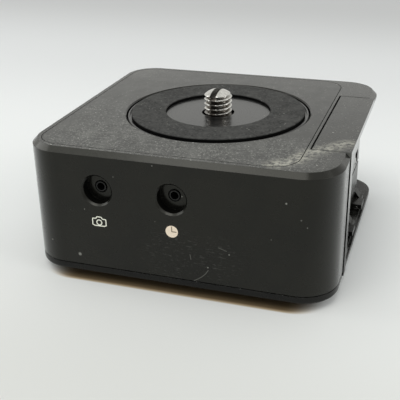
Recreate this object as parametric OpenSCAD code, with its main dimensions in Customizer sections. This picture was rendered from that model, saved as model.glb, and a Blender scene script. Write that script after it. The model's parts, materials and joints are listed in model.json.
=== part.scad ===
// Portable star-tracking turntable: a black box with a worm-driven camera platter on top,
// two control jacks in front and a fold-out alignment bracket in an open bay on the right.
// Millimetres. Z is the turntable axis, z = 0 is the table, the front faces -Y.

/* [Body] */
// Left face of the housing, measured from the turntable axis
body_left = 50.4; // [46:0.2:60]
// Right face of the housing, measured from the turntable axis
body_right = 49.6; // [46:0.2:60]
// Front face of the housing, measured from the turntable axis
body_front = 47.8; // [46:0.2:60]
// Back face of the housing, measured from the turntable axis
body_back = 48.2; // [44:0.2:60]
// Height of the top face above the table
body_h = 45; // [41:0.5:60]
// Radius of the upright corners
corner_r = 12; // [10:0.5:14]
// Chamfer round the top edge
top_chamfer = 1.6; // [0.8:0.1:2]
// Thickness of the side walls
wall = 2.5; // [2:0.1:3]
// Thickness of the top deck under the inset panel and beside it
deck_t = 3.4; // [3:0.1:4]
// Width of the seam round the inset panel
panel_gap = 0.25; // [0.1:0.05:0.3]

/* [Base plate] */
// Thickness of the rubber pad that the base stands on
pad_t = 2.5; // [2:0.25:3.5]
// Distance of the pad from the front and back faces
pad_margin = 8; // [6:0.5:14]
// Thickness of the base plate
base_t = 3; // [2.75:0.25:4]
// Rounding of the lower outer edge
base_round = 1.1; // [0.6:0.1:1.6]
// Width of the shadow seam under the housing
seam_w = 1; // [0.6:0.1:1.5]
// Height of the shadow seam
seam_h = 0.35; // [0.2:0.05:0.6]
// Radius of the screw bosses in the housing corners
boss_r = 4.6; // [4.4:0.1:5]
// Distance of the boss centres from the inner walls
boss_inset = 5.5; // [5:0.1:5.8]
// Length of the base screws
base_screw_len = 12; // [9:0.5:16]

/* [Tripod socket] */
// Radius of the threaded hole, cut to the crests of a 3/8 inch thread
tripod_hole_r = 4; // [3.9:0.05:4.1]
// Outer radius of the threaded bush
bush_r = 7.5; // [6.5:0.25:9]
// Depth of the bush flange's seat in the base
bush_sunk = 1; // [0.8:0.1:1.2]
// Radius of the bush flange
bush_flange_r = 10; // [9.5:0.25:11]
// Thickness of the bush flange
bush_flange_t = 2; // [1.5:0.1:2.2]
// Thickness of the cap that closes the bush
bush_cap_t = 1.4; // [1:0.1:1.6]

/* [Top panel] */
// Margin between the body faces and the inset panel
panel_margin = 3.3; // [2.6:0.1:4]
// Corner radius of the panel
panel_corner_r = 8.2; // [6:0.2:10]
// Thickness of the panel
panel_t = 1.6; // [1.2:0.1:2]
// Chamfer of the panel round the turntable hole
panel_hole_chamfer = 0.4; // [0.2:0.1:0.8]
// Rib left between the panel and the bracket seat
panel_rib = 1.1; // [0.8:0.1:1.6]

/* [Turntable] */
// Radius of the platter
platter_r = 31.2; // [28:0.2:34]
// Thickness of the platter
platter_t = 5; // [4.5:0.25:6]
// Drop of the platter's face below the top face
platter_drop = 0.5; // [0.2:0.1:0.8]
// Running gap between the platter and the panel
platter_gap = 0.4; // [0.3:0.05:0.8]
// Rim of the platter outside the seat of the grip ring
ring_rim = 0.7; // [0.5:0.1:3]
// Gap between the grip ring and the platter's rim
ring_gap = 0.7; // [0.3:0.1:1]
// Width of the rubber grip ring
ring_w = 11.9; // [10:0.1:13]
// Height of the grip ring above the platter's face
ring_proud = 0.95; // [0.6:0.05:1.6]
// Depth of the grip ring's seat in the platter
ring_sunk = 0.6; // [0.4:0.1:1]
// Diameter of the camera screw (3/8 inch)
screw_d = 9.525; // [9.4:0.025:9.6]
// Height of the camera screw above the top face
screw_proud = 7.75; // [5:0.25:9]
// Length of the camera screw below the top face
screw_depth = 16; // [13:0.5:18]
// Extra radius of the screw's shoulder inside the platter
screw_shoulder = 0.4; // [0.2:0.1:0.8]
// Height of the dome on the tip of the camera screw
screw_tip = 2; // [1:0.1:3]
// Width of the coin slot
slot_w = 2.2; // [1.2:0.1:2.4]
// Depth of the coin slot
slot_d = 2.2; // [1.5:0.1:3]
// Turn of the coin slot from the front-to-back line
slot_turn = 12; // [-45:1:45]
// Radius of the hole round the camera screw
sink_r = 5.6; // [5.4:0.1:6.5]
// Depth of that hole, down to the screw's shoulder
sink_d = 3; // [2:0.1:3.4]

/* [Spindle and bearings] */
// Radius of the spindle journal
spindle_r = 7.5; // [6.8:0.1:8.2]
// Radius of the spindle flange
spindle_flange_r = 15; // [13.5:0.1:16.5]
// Thickness of the spindle flange
spindle_flange_t = 5; // [4.5:0.1:6]
// Outer radius of the ball bearings
bearing_r = 12; // [10.8:0.1:13]
// Width of the ball bearings
bearing_w = 5; // [4.5:0.1:5.5]
// Radius of the bearing balls
ball_r = 1.3; // [1.1:0.05:1.4]
// Number of balls in a bearing
ball_count = 11; // [8:1:13]
// Distance between the upper bearing and the worm wheel
wheel_gap = 3; // [2.8:0.1:4]
// Thickness of the spindle nut
nut_t = 2.5; // [2:0.1:3]
// Outer radius of the spindle nut
nut_r = 10; // [9:0.1:10.5]
// Room between the tripod bush and the end of the spindle
spindle_room = 1.1; // [0.8:0.1:1.6]
// Wall of the spacer sleeves on the spindle
spacer_wall = 0.8; // [0.6:0.1:1]
// Outer radius of the bearing carrier
carrier_r = 15; // [14:0.2:16.5]
// Radius of the carrier's foot
carrier_foot_r = 21; // [19.5:0.1:24]
// Thickness of the carrier's foot
carrier_foot_t = 3; // [2.5:0.1:4]
// Lip of the rib between the two bearing seats
bearing_lip = 0.8; // [0.5:0.1:1]

/* [Worm drive] */
// Module of the worm drive
gear_module = 0.5; // [0.48:0.01:0.52]
// Teeth of the worm wheel
wheel_teeth = 100; // [96:1:104]
// Face width of the worm wheel
wheel_face = 5; // [4:0.1:5.5]
// Pitch radius of the worm
worm_pitch_r = 4; // [3.9:0.05:4.2]
// Length of the thread
worm_len = 13.2; // [11.8:0.1:14.5]
// Radius of the worm shaft
worm_shaft_r = 2.5; // [2:0.1:2.8]
// Flank angle of thread and teeth
flank = 20; // [18:0.5:22]
// Play on each flank of the mesh
tooth_play = 0.15; // [0.12:0.01:0.18]
// Radial room at the tip of thread and teeth
tip_room = 0.3; // [0.25:0.01:0.35]
// Width of the bushes of the worm shaft
bush_w = 3.5; // [3:0.1:4.5]
// Distance of the bush flanges from the middle of the worm
bush_place = 8.6; // [7.8:0.1:9.4]
// Radius of the motor
motor_r = 7.5; // [7:0.1:7.8]
// Length of the motor
motor_len = 10.5; // [9:0.1:11.5]
// Length of the shaft coupling
coupling_len = 6; // [5.4:0.1:6.6]

/* [Jacks] */
// Depth of the jack centres below the top face
jack_drop = 12.8; // [11:0.1:15]
// Place of the camera jack to the left of the turntable axis
camera_jack_x = 24.6; // [20:0.2:26]
// Place of the timer jack to the right of the turntable axis
timer_jack_x = -0.2; // [-2:0.1:2]
// Radius of the round recess
jack_recess_r = 4.7; // [4.2:0.1:5.4]
// Depth of the round recess
jack_recess_d = 3.6; // [3:0.1:4]
// Chamfer at the mouth of the recess
jack_mouth = 0.6; // [0.3:0.05:0.8]
// Radius of the jack's nose
jack_nose_r = 1.65; // [1.55:0.05:1.8]
// Radius of the plug hole
jack_hole_r = 1.3; // [1.25:0.01:1.4]
// Height of the nose above the recess floor
jack_nose_proud = 0.2; // [0.1:0.1:0.6]
// Length of the plug hole
jack_hole_len = 8; // [7:0.1:8.5]

/* [Alignment bracket] */
// Depth of the side bay in the housing
bay_depth = 6.8; // [6.2:0.1:7.4]
// Half length of the bracket's top flange
flange_half = 27.4; // [27:0.1:28.4]
// Width of the flange
flange_w = 11.85; // [10.8:0.05:13]
// Thickness of the flange
flange_t = 2; // [1.6:0.1:2.2]
// How far the bracket stands out past the housing
bracket_proud = 0.2; // [0.1:0.1:0.6]
// Gap between the bracket and the housing
bracket_gap = 0.4; // [0.3:0.05:0.6]
// Extra room of the bay in front of the cheek, below the top chamfer
bay_room = 1.6; // [1:0.1:2.4]
// Dark groove between the flange and the top face
groove_w = 0.6; // [0.4:0.05:0.8]
// Thickness of the bracket's plate
plate_t = 2.6; // [2.4:0.1:3]
// Back edge of the plate, behind the turntable axis
plate_back = 26.8; // [26:0.1:27]
// Lower edge of the plate above the base
plate_lift = 4; // [3.6:0.1:8]
// Thickness of the cheek at the top
cheek_top = 5; // [4.5:0.1:6]
// Thickness of the cheek at the hinge
cheek_foot = 3.8; // [3.4:0.1:4]
// Reach of the cheek below the hinge
cheek_drop = 3.8; // [3:0.1:4]
// Distance of the hinge from the side face of the housing
hinge_in = 2.3; // [2.1:0.05:2.5]
// Height of the hinge above the base plate
hinge_lift = 1.3; // [1.2:0.05:1.4]
// Radius of the hinge pins
pin_r = 0.7; // [0.6:0.02:0.8]
// Width of the hinge lugs
lug_w = 4; // [3.6:0.1:4.4]
// Height of the hinge lugs
lug_h = 2.6; // [2.5:0.1:2.8]
// Length of the hinge lugs
lug_len = 6; // [5:0.1:6.4]
// Length of the hinge knuckles
knuckle_len = 4.2; // [3.6:0.1:4.4]
// Radius of the clamp bore for an alignment pointer
clamp_r = 9; // [6:0.25:10]
// Height of the clamp bore above the table
clamp_z = 21.5; // [21:0.25:25]
// Place of the clamp bore in front of the turntable axis
clamp_y = 3; // [2:0.25:6]
// Width of the clamp slit
slit_w = 0.8; // [0.6:0.1:1.2]

/* [Back controls] */
// Height of the controls above the table
control_z = 24; // [20:0.5:26]
// Radius of the start button
button_r = 3.4; // [2.5:0.1:3.6]
// Travel of the start button
button_travel = 0.8; // [0.4:0.1:0.9]
// How far the button stands out
button_proud = 1; // [0.9:0.1:1.6]
// Travel of the power slider
slider_travel = 3; // [2:0.1:3.5]
// Length of the slider knob
slider_len = 3; // [2.4:0.1:3.4]
// Height of the slider knob
slider_h = 2.4; // [1.8:0.1:3]
// Running gap round the button and the slider
control_gap = 0.3; // [0.25:0.05:0.4]
// Width of the charging socket
usb_w = 9; // [8.6:0.1:9.4]
// Height of the charging socket
usb_h = 3.2; // [3:0.1:3.4]
// Radius of the status lights
light_r = 1; // [0.8:0.1:1.4]

/* [Battery and boards] */
// Thickness of the battery cell
cell_t = 10; // [8:0.1:10.4]
// Length of the battery cell
cell_len = 50; // [40:0.5:52]
// Height of the battery cell
cell_h = 22; // [20:0.5:30]
// Thickness of the circuit boards
board_t = 1.6; // [1.2:0.1:2]
// Wall of the battery tray
tray_wall = 1; // [0.8:0.1:1.4]

/* [Hidden] */
$fn = 64;
// Overlap of cutters past a face
eps = 1;
// Play between a screw and its tapped hole
thread_play = 0.05;
// Play of a seat that is glued or pressed by hand
seat_play = 0.02;
// Running clearance of a shaft in its bush
run_play = 0.03;
// Metric screws: radius of shank and head, height of head
m3 = [1.5, 2.75, 2];
m25 = [1.25, 2.25, 1.6];
m2 = [1, 1.9, 1.3];
// Clearance hole round a screw shank
screw_room = 0.15;
// Width of a screw's hexagon recess as a share of its shank
hex_share = 0.8;
// Floor under the tapped holes in the base
base_floor = 1;
// Room between the pad and the heads of the base screws, and the pad's corner radius
pad_room = 1;
pad_round = 6;

base_top = pad_t + base_t;
right_x = body_right + bracket_proud;
bay_x = body_right - bay_depth;
flange_x = right_x - flange_w;
hinge_x = body_right - hinge_in;
deck_z = body_h - deck_t;
inner_front = body_front - wall;
inner_back = body_back - wall;
inner_left = body_left - wall;
inner_right = bay_x - wall;
cavity_r = corner_r - wall;
seat_x = flange_x - groove_w;
bay_half = flange_half + bracket_gap;
bay_roof = body_h - flange_t - bracket_gap;

panel_x0 = -(body_left - panel_margin);
panel_x1 = seat_x - panel_rib;
panel_y0 = -(body_front - panel_margin);
panel_y1 = body_back - panel_margin;
panel_z = body_h - panel_t;
panel_hole_r = platter_r + platter_gap;
deck_hole_r = panel_hole_r + platter_gap;

boss_points = [
    [-(inner_left - boss_inset), -(inner_front - boss_inset)],
    [-(inner_left - boss_inset), inner_back - boss_inset],
    [inner_right - boss_inset, inner_back - boss_inset],
    [inner_right - boss_inset, -(inner_front - boss_inset)]
];
pad_x = inner_right - boss_inset - m3[1] - pad_room;

screw_r = screw_d / 2;
shank_r = screw_r + screw_shoulder;
ring_seat_r = platter_r - ring_rim;
ring_r_out = ring_seat_r - ring_gap;
ring_r_in = ring_r_out - ring_w;
// Length of the spindle thread below its nut
spindle_tail = 0.5;
bush_seat = base_top - bush_sunk;
bush_top = bush_seat + bush_flange_t + bush_cap_t;
platter_top = body_h - platter_drop;
platter_z = platter_top - platter_t;
flange_z = platter_z - spindle_flange_t;
wheel_z = flange_z - wheel_face;
upper_z = wheel_z - wheel_gap - bearing_w;
// Height left for the bearing gap and for more room under the spindle
spare_h = upper_z - bearing_w - nut_t - spindle_tail - spindle_room - bush_top;
// Share of that height that lies between the bearings
gap_share = 0.4;
bearing_gap = gap_share * spare_h;
lower_z = upper_z - bearing_gap - bearing_w;
nut_z = lower_z - nut_t;
// Distance of the flange screws from the edge of the spindle flange
bolt_edge = 2.8;
spindle_bolt_r = spindle_flange_r - bolt_edge;
// Height of the carrier above the upper bearing
carrier_rise = 0.5;
carrier_bolt_r = (carrier_r + carrier_foot_r) / 2;

race_r = (spindle_r + bearing_r) / 2;
// Half of the free width between the bearing rings
race_half = 0.85;
// Clearance of the balls in their grooves
ball_play = 0.1;
// Half thickness and half width of the ball cage
cage_half_t = 0.4;
cage_half_w = 1.7;

wheel_r = gear_module * wheel_teeth / 2;
mesh_z = wheel_z + wheel_face / 2;
worm_x = -(wheel_r + worm_pitch_r);
thread_pitch = PI * gear_module;
// Working depth of the mesh, in modules, on each side of the pitch line
addendum = 0.8 * gear_module;
wheel_tip_r = wheel_r + addendum;
worm_tip_r = worm_pitch_r + addendum;
wheel_root_r = wheel_r - addendum - tip_room;
worm_root_r = worm_pitch_r - addendum - tip_room;
tooth_half = thread_pitch / 4 - tooth_play / 2;
lead_angle = atan(thread_pitch / (2 * PI * worm_pitch_r));
wheel_twist = wheel_face * tan(lead_angle) / wheel_r * 180 / PI;
// Depth of the thread's foot in the worm's core
thread_foot = 0.15;
// Points in a turn of the thread
thread_points = 24;
thread_turns = floor((worm_len - 2 * gear_module) / thread_pitch);
// Radii of bush and bush flange, and thickness of the flange
worm_bush_r = 4;
worm_bush_flange = [5, 1];
// Radius of the shoulders beside the thread
worm_shoulder_r = 3.8;
// End play between shoulder and bush
worm_end_play = 0.3;
upright_y = bush_place + worm_bush_flange[1];
upright_end = upright_y + bush_w;
// Room between upright, coupling and motor plate
coupling_room = 0.8;
motor_plate_t = 2.4;
motor_plate_y = upright_end + coupling_len + 2 * coupling_room;
motor_y = motor_plate_y + motor_plate_t;
motor_shaft_r = 1;
motor_shaft_depth = 6;
// Pilot of the motor: radius and length
motor_pilot = [3.9, 1.5];
motor_bolt_r = 5.8;
// Length of the motor screws inside the motor
motor_grip = 2;
coupling_r = 3.4;
// Length of the worm shaft inside the coupling
coupling_grip = 2.6;
// Drive bracket: reach of the uprights and of the foot from the worm, foot and web
drive_in = 4.4;
drive_out = 8;
drive_foot_in = 2.5;
drive_foot_t = 3.5;
drive_web_t = 2;
// Height of the uprights and of the motor plate above the worm
drive_rise = 6;
motor_plate_rise = 5.4;
drive_x0 = worm_x - drive_out;
drive_x1 = worm_x + drive_in;
drive_foot_x1 = worm_x + drive_foot_in;
drive_screw_x = (drive_x0 + drive_web_t + drive_foot_x1) / 2;
drive_screw_y = [-upright_y / 2, upright_y / 2, (upright_end + motor_plate_y) / 2];

jack_z = body_h - jack_drop;
jack_x = [-camera_jack_x, timer_jack_x];
// Boss behind each jack: radius and depth from the front face
jack_boss_r = 8;
jack_boss_d = 5.5;
jack_body_w = 7;
jack_body_back = 13.2;
// Room round the nose in its hole
jack_nose_room = 0.45;
jack_floor_y = -(body_front - jack_recess_d);
jack_board_y = -(body_front - jack_body_back);

hinge_z = base_top + hinge_lift;
plate_x = bay_x + bracket_gap;
plate_z = base_top + plate_lift;
knuckle_r = hinge_lift;
// Gap between a lug and the knuckle beside it
hinge_gap = 0.3;
// Running clearance of the knuckles on their pins
pin_play = 0.04;
// Room under the cheek and the knuckles when the bracket turns
sweep_room = 0.4;
rear_lug_y = plate_back - knuckle_len - hinge_gap - lug_len;
// Distance between the rear and the middle lug
lug_pitch = 22.5;
lug_y = [-(flange_half - cheek_foot - sweep_room), rear_lug_y - lug_pitch, rear_lug_y];
knuckle_y = [for (i = [1, 2]) lug_y[i] + lug_len + hinge_gap];
// Clamp window: its length and height, and the lip under the screw head
window = [6, 4.5];
window_lip = 1.1;
// Distance of the window from the back edge of the plate
window_inset = 10;
window_y = plate_back - window_inset;
clamp_shank_r = 0.75;
clamp_head = [1.25, 2];
clamp_screw_y = window_y + window[0] / 2;
clamp_screw_x = plate_x + plate_t / 2;
clamp_lip_z = clamp_z + slit_w / 2 + window_lip;
clamp_screw_len = 9;

// Margins of the control board beside and above the controls, and its distance from the boss
control_board_side = 9;
control_board_rise = 12;
control_board_room = 2.6;
// Distances of the controls from each other along the back face
slider_pitch = 12;
button_pitch = 25;
light_pitch = 6;
usb_x = inner_right - boss_inset - boss_r - control_board_room - control_board_side;
slider_x = usb_x - slider_pitch;
button_x = usb_x - button_pitch;
light_x = [slider_x - light_pitch / 2, slider_x + light_pitch / 2];
// Height of the status lights above the controls
light_lift = 7.5;
// Room between the back wall and the control board
board_room = 6.1;
control_board_y = inner_back - board_room - board_t;
control_face_y = control_board_y + board_t;
// Radius and thickness of the flange behind the button
button_flange = [4.6, 1.5];
tact_w = 6;
tact_h = board_room - button_flange[1] - button_travel - 2 * control_gap;
switch_size = [9.6, 4.4, 3.6];
switch_y = control_face_y + switch_size[2];
switch_slot_h = 2;
switch_slot_d = 2.6;
usb_shell = 0.4;
// Contact tongue: width, thickness and distance from the mouth
usb_tongue = [6.6, 0.7, 1];
// Closed end of the charging socket
usb_back = 1.2;
usb_inset = 0.3;
// Grooves in the slider knob: half width and depth
knob_groove = [0.2, 0.3];
// Dish of the start button: radius of the sphere and depth
button_dish = [14, 0.3];
// How far the status lights stand out
light_proud = 0.2;
// Margins of the jack board beside and above the jacks, and its height over the base
jack_board_side = 10;
jack_board_top = 5;
jack_board_lift = 5.5;
// Board outlines: left, right, bottom and top
jack_board_box = [
    jack_x[0] - jack_board_side, jack_x[1] + jack_board_side,
    base_top + jack_board_lift, jack_z + jack_board_top
];
control_board_box = [
    button_x - control_board_side, usb_x + control_board_side,
    control_z - control_board_rise, control_z + control_board_rise
];
// Width and height of the processor and of the motor driver, radius and height of the capacitors
processor = [9, 1.6];
driver = [6, 1.4];
capacitor = [1.8, 5];
capacitor_side = 1.5 * capacitor[0];
chip_z = (jack_board_box[2] + jack_board_box[3]) / 2;
// Distance of board screws from the board's edges
board_screw_inset = 3;
board_post_r = 2.8;
board_screw_len = 6;

// Room between the battery tray and the bay's wall
tray_room = 1.6;
tray_x1 = inner_right - tray_room;
cell_x0 = tray_x1 - tray_wall - seat_play - cell_t;
tray_x0 = cell_x0 - seat_play - tray_wall;
cell_z = base_top + tray_wall;
// Height of the tray's walls
tray_h = 14;
cell_round = 2;

black_metal = [0.07, 0.07, 0.075];
panel_black = [0.12, 0.12, 0.125];
rubber_black = [0.05, 0.05, 0.05];
steel = [0.78, 0.79, 0.8];
dark_steel = [0.3, 0.31, 0.33];
bronze = [0.72, 0.53, 0.28];
board_green = [0.05, 0.28, 0.16];
black_plastic = [0.09, 0.09, 0.09];
light_clear = [0.85, 0.9, 0.85];
cell_grey = [0.55, 0.6, 0.68];

// Rectangle with round corners, from x0 to x1 and from y0 to y1
module round_rect(x0, x1, y0, y1, r) {
    translate([x0 + r, y0]) square([x1 - x0 - 2 * r, y1 - y0]);
    translate([x0, y0 + r]) square([x1 - x0, y1 - y0 - 2 * r]);
    for (x = [x0 + r, x1 - r], y = [y0 + r, y1 - r]) translate([x, y]) circle(r);
}

// Sweeps a profile round a rectangle with round corners: x is outward, y is up
module edge_sweep(x0, x1, y0, y1, r) {
    for (side = [[x1, 0], [x0, 1]])
        translate([side[0], y1 - r, 0]) mirror([side[1], 0, 0])
            rotate([90, 0, 0]) linear_extrude(y1 - y0 - 2 * r) children();
    for (side = [[y1, 0], [y0, 1]])
        translate([x0 + r, side[0], 0]) mirror([0, side[1], 0])
            rotate([90, 0, 90]) linear_extrude(x1 - x0 - 2 * r) children();
    for (corner = [[x1 - r, y1 - r, 0], [x0 + r, y1 - r, 90],
                   [x0 + r, y0 + r, 180], [x1 - r, y0 + r, 270]])
        translate([corner[0], corner[1], 0]) rotate(corner[2])
            rotate_extrude(angle = 90) translate([r, 0]) children();
}

// Box given by its two corners
module block(low, high) {
    translate(low) cube(high - low);
}

// Cylinder along +Y from a point
module rod_y(p, r, len) {
    translate(p) rotate([-90, 0, 0]) cylinder(r = r, h = len);
}

// Ring about the Z axis
module ring(r_in, r_out, z, h) {
    translate([0, 0, z]) difference() {
        cylinder(r = r_out, h = h);
        translate([0, 0, -eps]) cylinder(r = r_in, h = h + 2 * eps);
    }
}

// Pan-head screw at the origin: the head rests on z = 0, the shank points down
module pan_screw(size, len) {
    difference() {
        cylinder(r = size[1], h = size[2]);
        translate([0, 0, size[2] / 2]) cylinder(r = hex_share * size[0], h = size[2], $fn = 6);
    }
    translate([0, 0, -len]) cylinder(r = size[0], h = len);
}

// Places copies on a circle about the Z axis
module on_circle(r, count, start = 0) {
    for (i = [0 : count - 1]) rotate(start + i * 360 / count) translate([r, 0, 0]) children();
}

// Copies at the four screw points of an upright board, given its outline
module at_board_screws(box, y) {
    for (x = [box[0] + board_screw_inset, box[1] - board_screw_inset],
         z = [box[2] + board_screw_inset, box[3] - board_screw_inset])
        translate([x, y, z]) children();
}

// Outline of the housing and of its inner room
module body_outline() {
    round_rect(-body_left, body_right, -body_front, body_back, corner_r);
}

module cavity_outline() {
    round_rect(-inner_left, inner_right, -inner_front, inner_back, cavity_r);
}

// Slot with round ends along X, cut along +Y
module usb_slot(p, w, h, len) {
    block(p + [-(w - h) / 2, 0, -h / 2], p + [(w - h) / 2, len, h / 2]);
    for (s = [-1, 1]) rod_y(p + [s * (w - h) / 2, 0, 0], h / 2, len);
}

// Housing: walls and top deck, with jack bosses, board posts and the bay
module housing() {
    color(black_metal) difference() {
        union() {
            difference() {
                translate([0, 0, base_top]) linear_extrude(body_h - base_top) body_outline();
                translate([0, 0, base_top - eps])
                    linear_extrude(deck_z - base_top + eps) cavity_outline();
            }
            for (p = boss_points)
                translate([p[0], p[1], base_top]) cylinder(r = boss_r, h = deck_z - base_top + eps);
            for (x = jack_x)
                rod_y([x, -body_front + eps, jack_z], jack_boss_r, jack_boss_d - eps);
            at_board_screws(jack_board_box, -inner_front - eps)
                rod_y([0, 0, 0], board_post_r, jack_board_y + inner_front + eps);
            at_board_screws(control_board_box, control_face_y)
                rod_y([0, 0, 0], board_post_r, inner_back - control_face_y + eps);
        }
        top_edge_cut();
        bay_cut();
        translate([0, 0, panel_z]) linear_extrude(panel_t + eps)
            round_rect(panel_x0 - panel_gap, panel_x1 + panel_gap,
                       panel_y0 - panel_gap, panel_y1 + panel_gap, panel_corner_r + panel_gap);
        translate([0, 0, deck_z - eps]) cylinder(r = deck_hole_r, h = deck_t + 2 * eps);
        for (p = boss_points)
            translate([p[0], p[1], base_top - eps])
                cylinder(r = m3[0] + thread_play, h = base_screw_len - base_t + 2 * eps);
        for (x = jack_x) jack_cut(x);
        at_board_screws(jack_board_box, jack_board_y - board_screw_len)
            rod_y([0, 0, 0], m2[0] + thread_play, board_screw_len + eps);
        at_board_screws(control_board_box, control_face_y - eps)
            rod_y([0, 0, 0], m2[0] + thread_play, board_screw_len - board_t + eps);
        back_control_cuts();
    }
}

// Chamfer round the top edge
module top_edge_cut() {
    translate([0, 0, body_h])
        edge_sweep(-body_left, body_right, -body_front, body_back, corner_r)
            polygon([[-top_chamfer - eps, eps], [eps, eps], [eps, -top_chamfer - eps]]);
}

// Bay on the right: open to the side and to the back, with a seat for the flange
module bay_cut() {
    far_x = right_x + eps;
    block([bay_x, -bay_half, base_top - eps], [far_x, bay_half, body_h + eps]);
    block([bay_x, -bay_half - bay_room, base_top - eps], [far_x, -bay_half + eps, body_h - top_chamfer]);
    block([bay_x, bay_half - eps, base_top - eps], [far_x, body_back + eps, bay_roof]);
    block([seat_x, -bay_half, bay_roof], [bay_x + eps, bay_half, body_h + eps]);
}

// Round recess in the front face and the hole for a jack's nose
module jack_cut(x) {
    rod_y([x, -body_front - eps, jack_z], jack_recess_r, jack_recess_d + eps);
    translate([x, -body_front, jack_z]) rotate([-90, 0, 0])
        cylinder(r1 = jack_recess_r + jack_mouth, r2 = jack_recess_r, h = jack_mouth);
    rod_y([x, jack_floor_y - eps, jack_z], jack_nose_r + jack_nose_room, jack_boss_d + eps);
}

// Holes in the back wall for button, slider, charging socket and lights
module back_control_cuts() {
    depth = wall + 2 * eps;
    y = inner_back - eps;
    slot_half = (slider_len + slider_travel) / 2 + control_gap;
    rod_y([button_x, y, control_z], button_r + control_gap, depth);
    block([slider_x - slot_half, y, control_z - slider_h / 2 - control_gap],
          [slider_x + slot_half, y + depth, control_z + slider_h / 2 + control_gap]);
    usb_slot([usb_x, y, control_z], usb_w + 2 * panel_gap, usb_h + 2 * panel_gap, depth);
    for (x = light_x) rod_y([x, y, control_z + light_lift], light_r + panel_gap, depth);
}

// Inset panel with the turntable hole
module top_panel() {
    color(panel_black) difference() {
        translate([0, 0, panel_z]) linear_extrude(panel_t)
            round_rect(panel_x0, panel_x1, panel_y0, panel_y1, panel_corner_r);
        translate([0, 0, panel_z - eps]) cylinder(r = panel_hole_r, h = panel_t + 2 * eps);
        translate([0, 0, body_h - panel_hole_chamfer])
            cylinder(r1 = panel_hole_r, r2 = panel_hole_r + panel_hole_chamfer + eps,
                     h = panel_hole_chamfer + eps);
    }
}

// Base plate with the hinge lugs on the ledge of the bay
module base_plate() {
    color(black_metal) difference() {
        union() {
            translate([0, 0, pad_t]) linear_extrude(base_t) body_outline();
            for (y = lug_y)
                block([hinge_x - lug_w / 2, y, base_top - eps],
                      [hinge_x + lug_w / 2, y + lug_len, base_top + lug_h]);
        }
        translate([0, 0, pad_t])
            edge_sweep(-body_left, body_right, -body_front, body_back, corner_r)
                difference() {
                    translate([-base_round, -eps]) square(base_round + eps);
                    translate([-base_round, base_round]) circle(base_round);
                }
        translate([0, 0, base_top - seam_h])
            edge_sweep(-body_left, body_right, -body_front, body_back, corner_r)
                translate([-seam_w, 0]) square([seam_w + eps, seam_h + eps]);
        translate([0, 0, pad_t - eps]) cylinder(r = bush_r + seat_play, h = base_t + 2 * eps);
        translate([0, 0, bush_seat]) cylinder(r = bush_flange_r + seat_play, h = bush_sunk + eps);
        for (p = boss_points) translate([p[0], p[1], pad_t]) countersunk_hole();
        on_circle(carrier_bolt_r, 4, 45)
            translate([0, 0, pad_t + base_floor]) cylinder(r = m25[0] + thread_play, h = base_t);
        for (y = drive_screw_y)
            translate([drive_screw_x, y, pad_t + base_floor])
                cylinder(r = m25[0] + thread_play, h = base_t);
        hinge_relief();
        for (y = lug_y) rod_y([hinge_x, y - eps, hinge_z], pin_r, lug_len + 2 * eps);
    }
}

// Rubber pad under the base plate, between the base screws
module base_pad() {
    color(rubber_black) difference() {
        linear_extrude(pad_t)
            round_rect(-pad_x, pad_x, -(body_front - pad_margin), body_back - pad_margin, pad_round);
        translate([0, 0, -eps]) cylinder(r = bush_r + seat_play, h = pad_t + 2 * eps);
    }
}

// Clearance hole with a countersink for a base screw
module countersunk_hole() {
    translate([0, 0, -eps]) cylinder(r = m3[0] + screw_room, h = base_t + 2 * eps);
    translate([0, 0, -eps])
        cylinder(r1 = m3[1] + screw_room + eps, r2 = m3[0] + screw_room, h = m3[1] - m3[0] + eps);
}

// Room in the ledge for the turning cheek and knuckles
module hinge_relief() {
    far_x = right_x + eps;
    block([hinge_x - cheek_drop - sweep_room, -bay_half - bay_room, pad_t - eps],
          [far_x, lug_y[0], base_top + eps]);
    for (y = knuckle_y)
        block([hinge_x - knuckle_r - sweep_room, y - hinge_gap, base_top - sweep_room],
              [far_x, y + knuckle_len + hinge_gap, hinge_z]);
}

// Countersunk screws that hold the base to the housing
module base_screws() {
    color(dark_steel) for (p = boss_points) translate([p[0], p[1], pad_t]) difference() {
        union() {
            cylinder(r1 = m3[1], r2 = m3[0], h = m3[1] - m3[0]);
            cylinder(r = m3[0], h = base_screw_len);
        }
        translate([0, 0, -eps]) cylinder(r = hex_share * m3[0], h = eps + hex_share * m3[0], $fn = 6);
    }
}

// Threaded tripod bush, closed at the top
module tripod_bush() {
    top = bush_seat + bush_flange_t;
    color(bronze) rotate_extrude() polygon([
        [tripod_hole_r, 0], [bush_r, 0], [bush_r, bush_seat], [bush_flange_r, bush_seat],
        [bush_flange_r, top], [bush_r, bush_top], [0, bush_top], [0, top], [tripod_hole_r, top]
    ]);
}

// Platter with the grip ring's seat and the hole of the camera screw
module platter() {
    rim = 0.3;
    bore_r = shank_r + screw_room;
    seat_z = platter_top - ring_sunk;
    sink_z = platter_top - sink_d;
    color(panel_black) difference() {
        rotate_extrude() polygon([
            [bore_r, platter_z], [platter_r, platter_z], [platter_r, platter_top - rim],
            [platter_r - rim, platter_top], [ring_seat_r, platter_top], [ring_seat_r, seat_z],
            [ring_r_in, seat_z], [ring_r_in, platter_top], [sink_r, platter_top],
            [sink_r, sink_z], [bore_r, sink_z]
        ]);
        on_circle(spindle_bolt_r, 4, 45)
            translate([0, 0, platter_z - eps])
                cylinder(r = m25[0] + thread_play, h = platter_t - 2 * ring_sunk + eps);
    }
}

// Rubber grip ring with softened edges
module rubber_ring() {
    soft = 0.2;
    r0 = ring_r_in + seat_play;
    z0 = platter_top - ring_sunk;
    z1 = platter_top + ring_proud;
    color(rubber_black) rotate_extrude() polygon([
        [r0, z0], [ring_r_out, z0], [ring_r_out, z1 - soft], [ring_r_out - soft, z1],
        [r0 + soft, z1], [r0, z1 - soft]
    ]);
}

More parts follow.
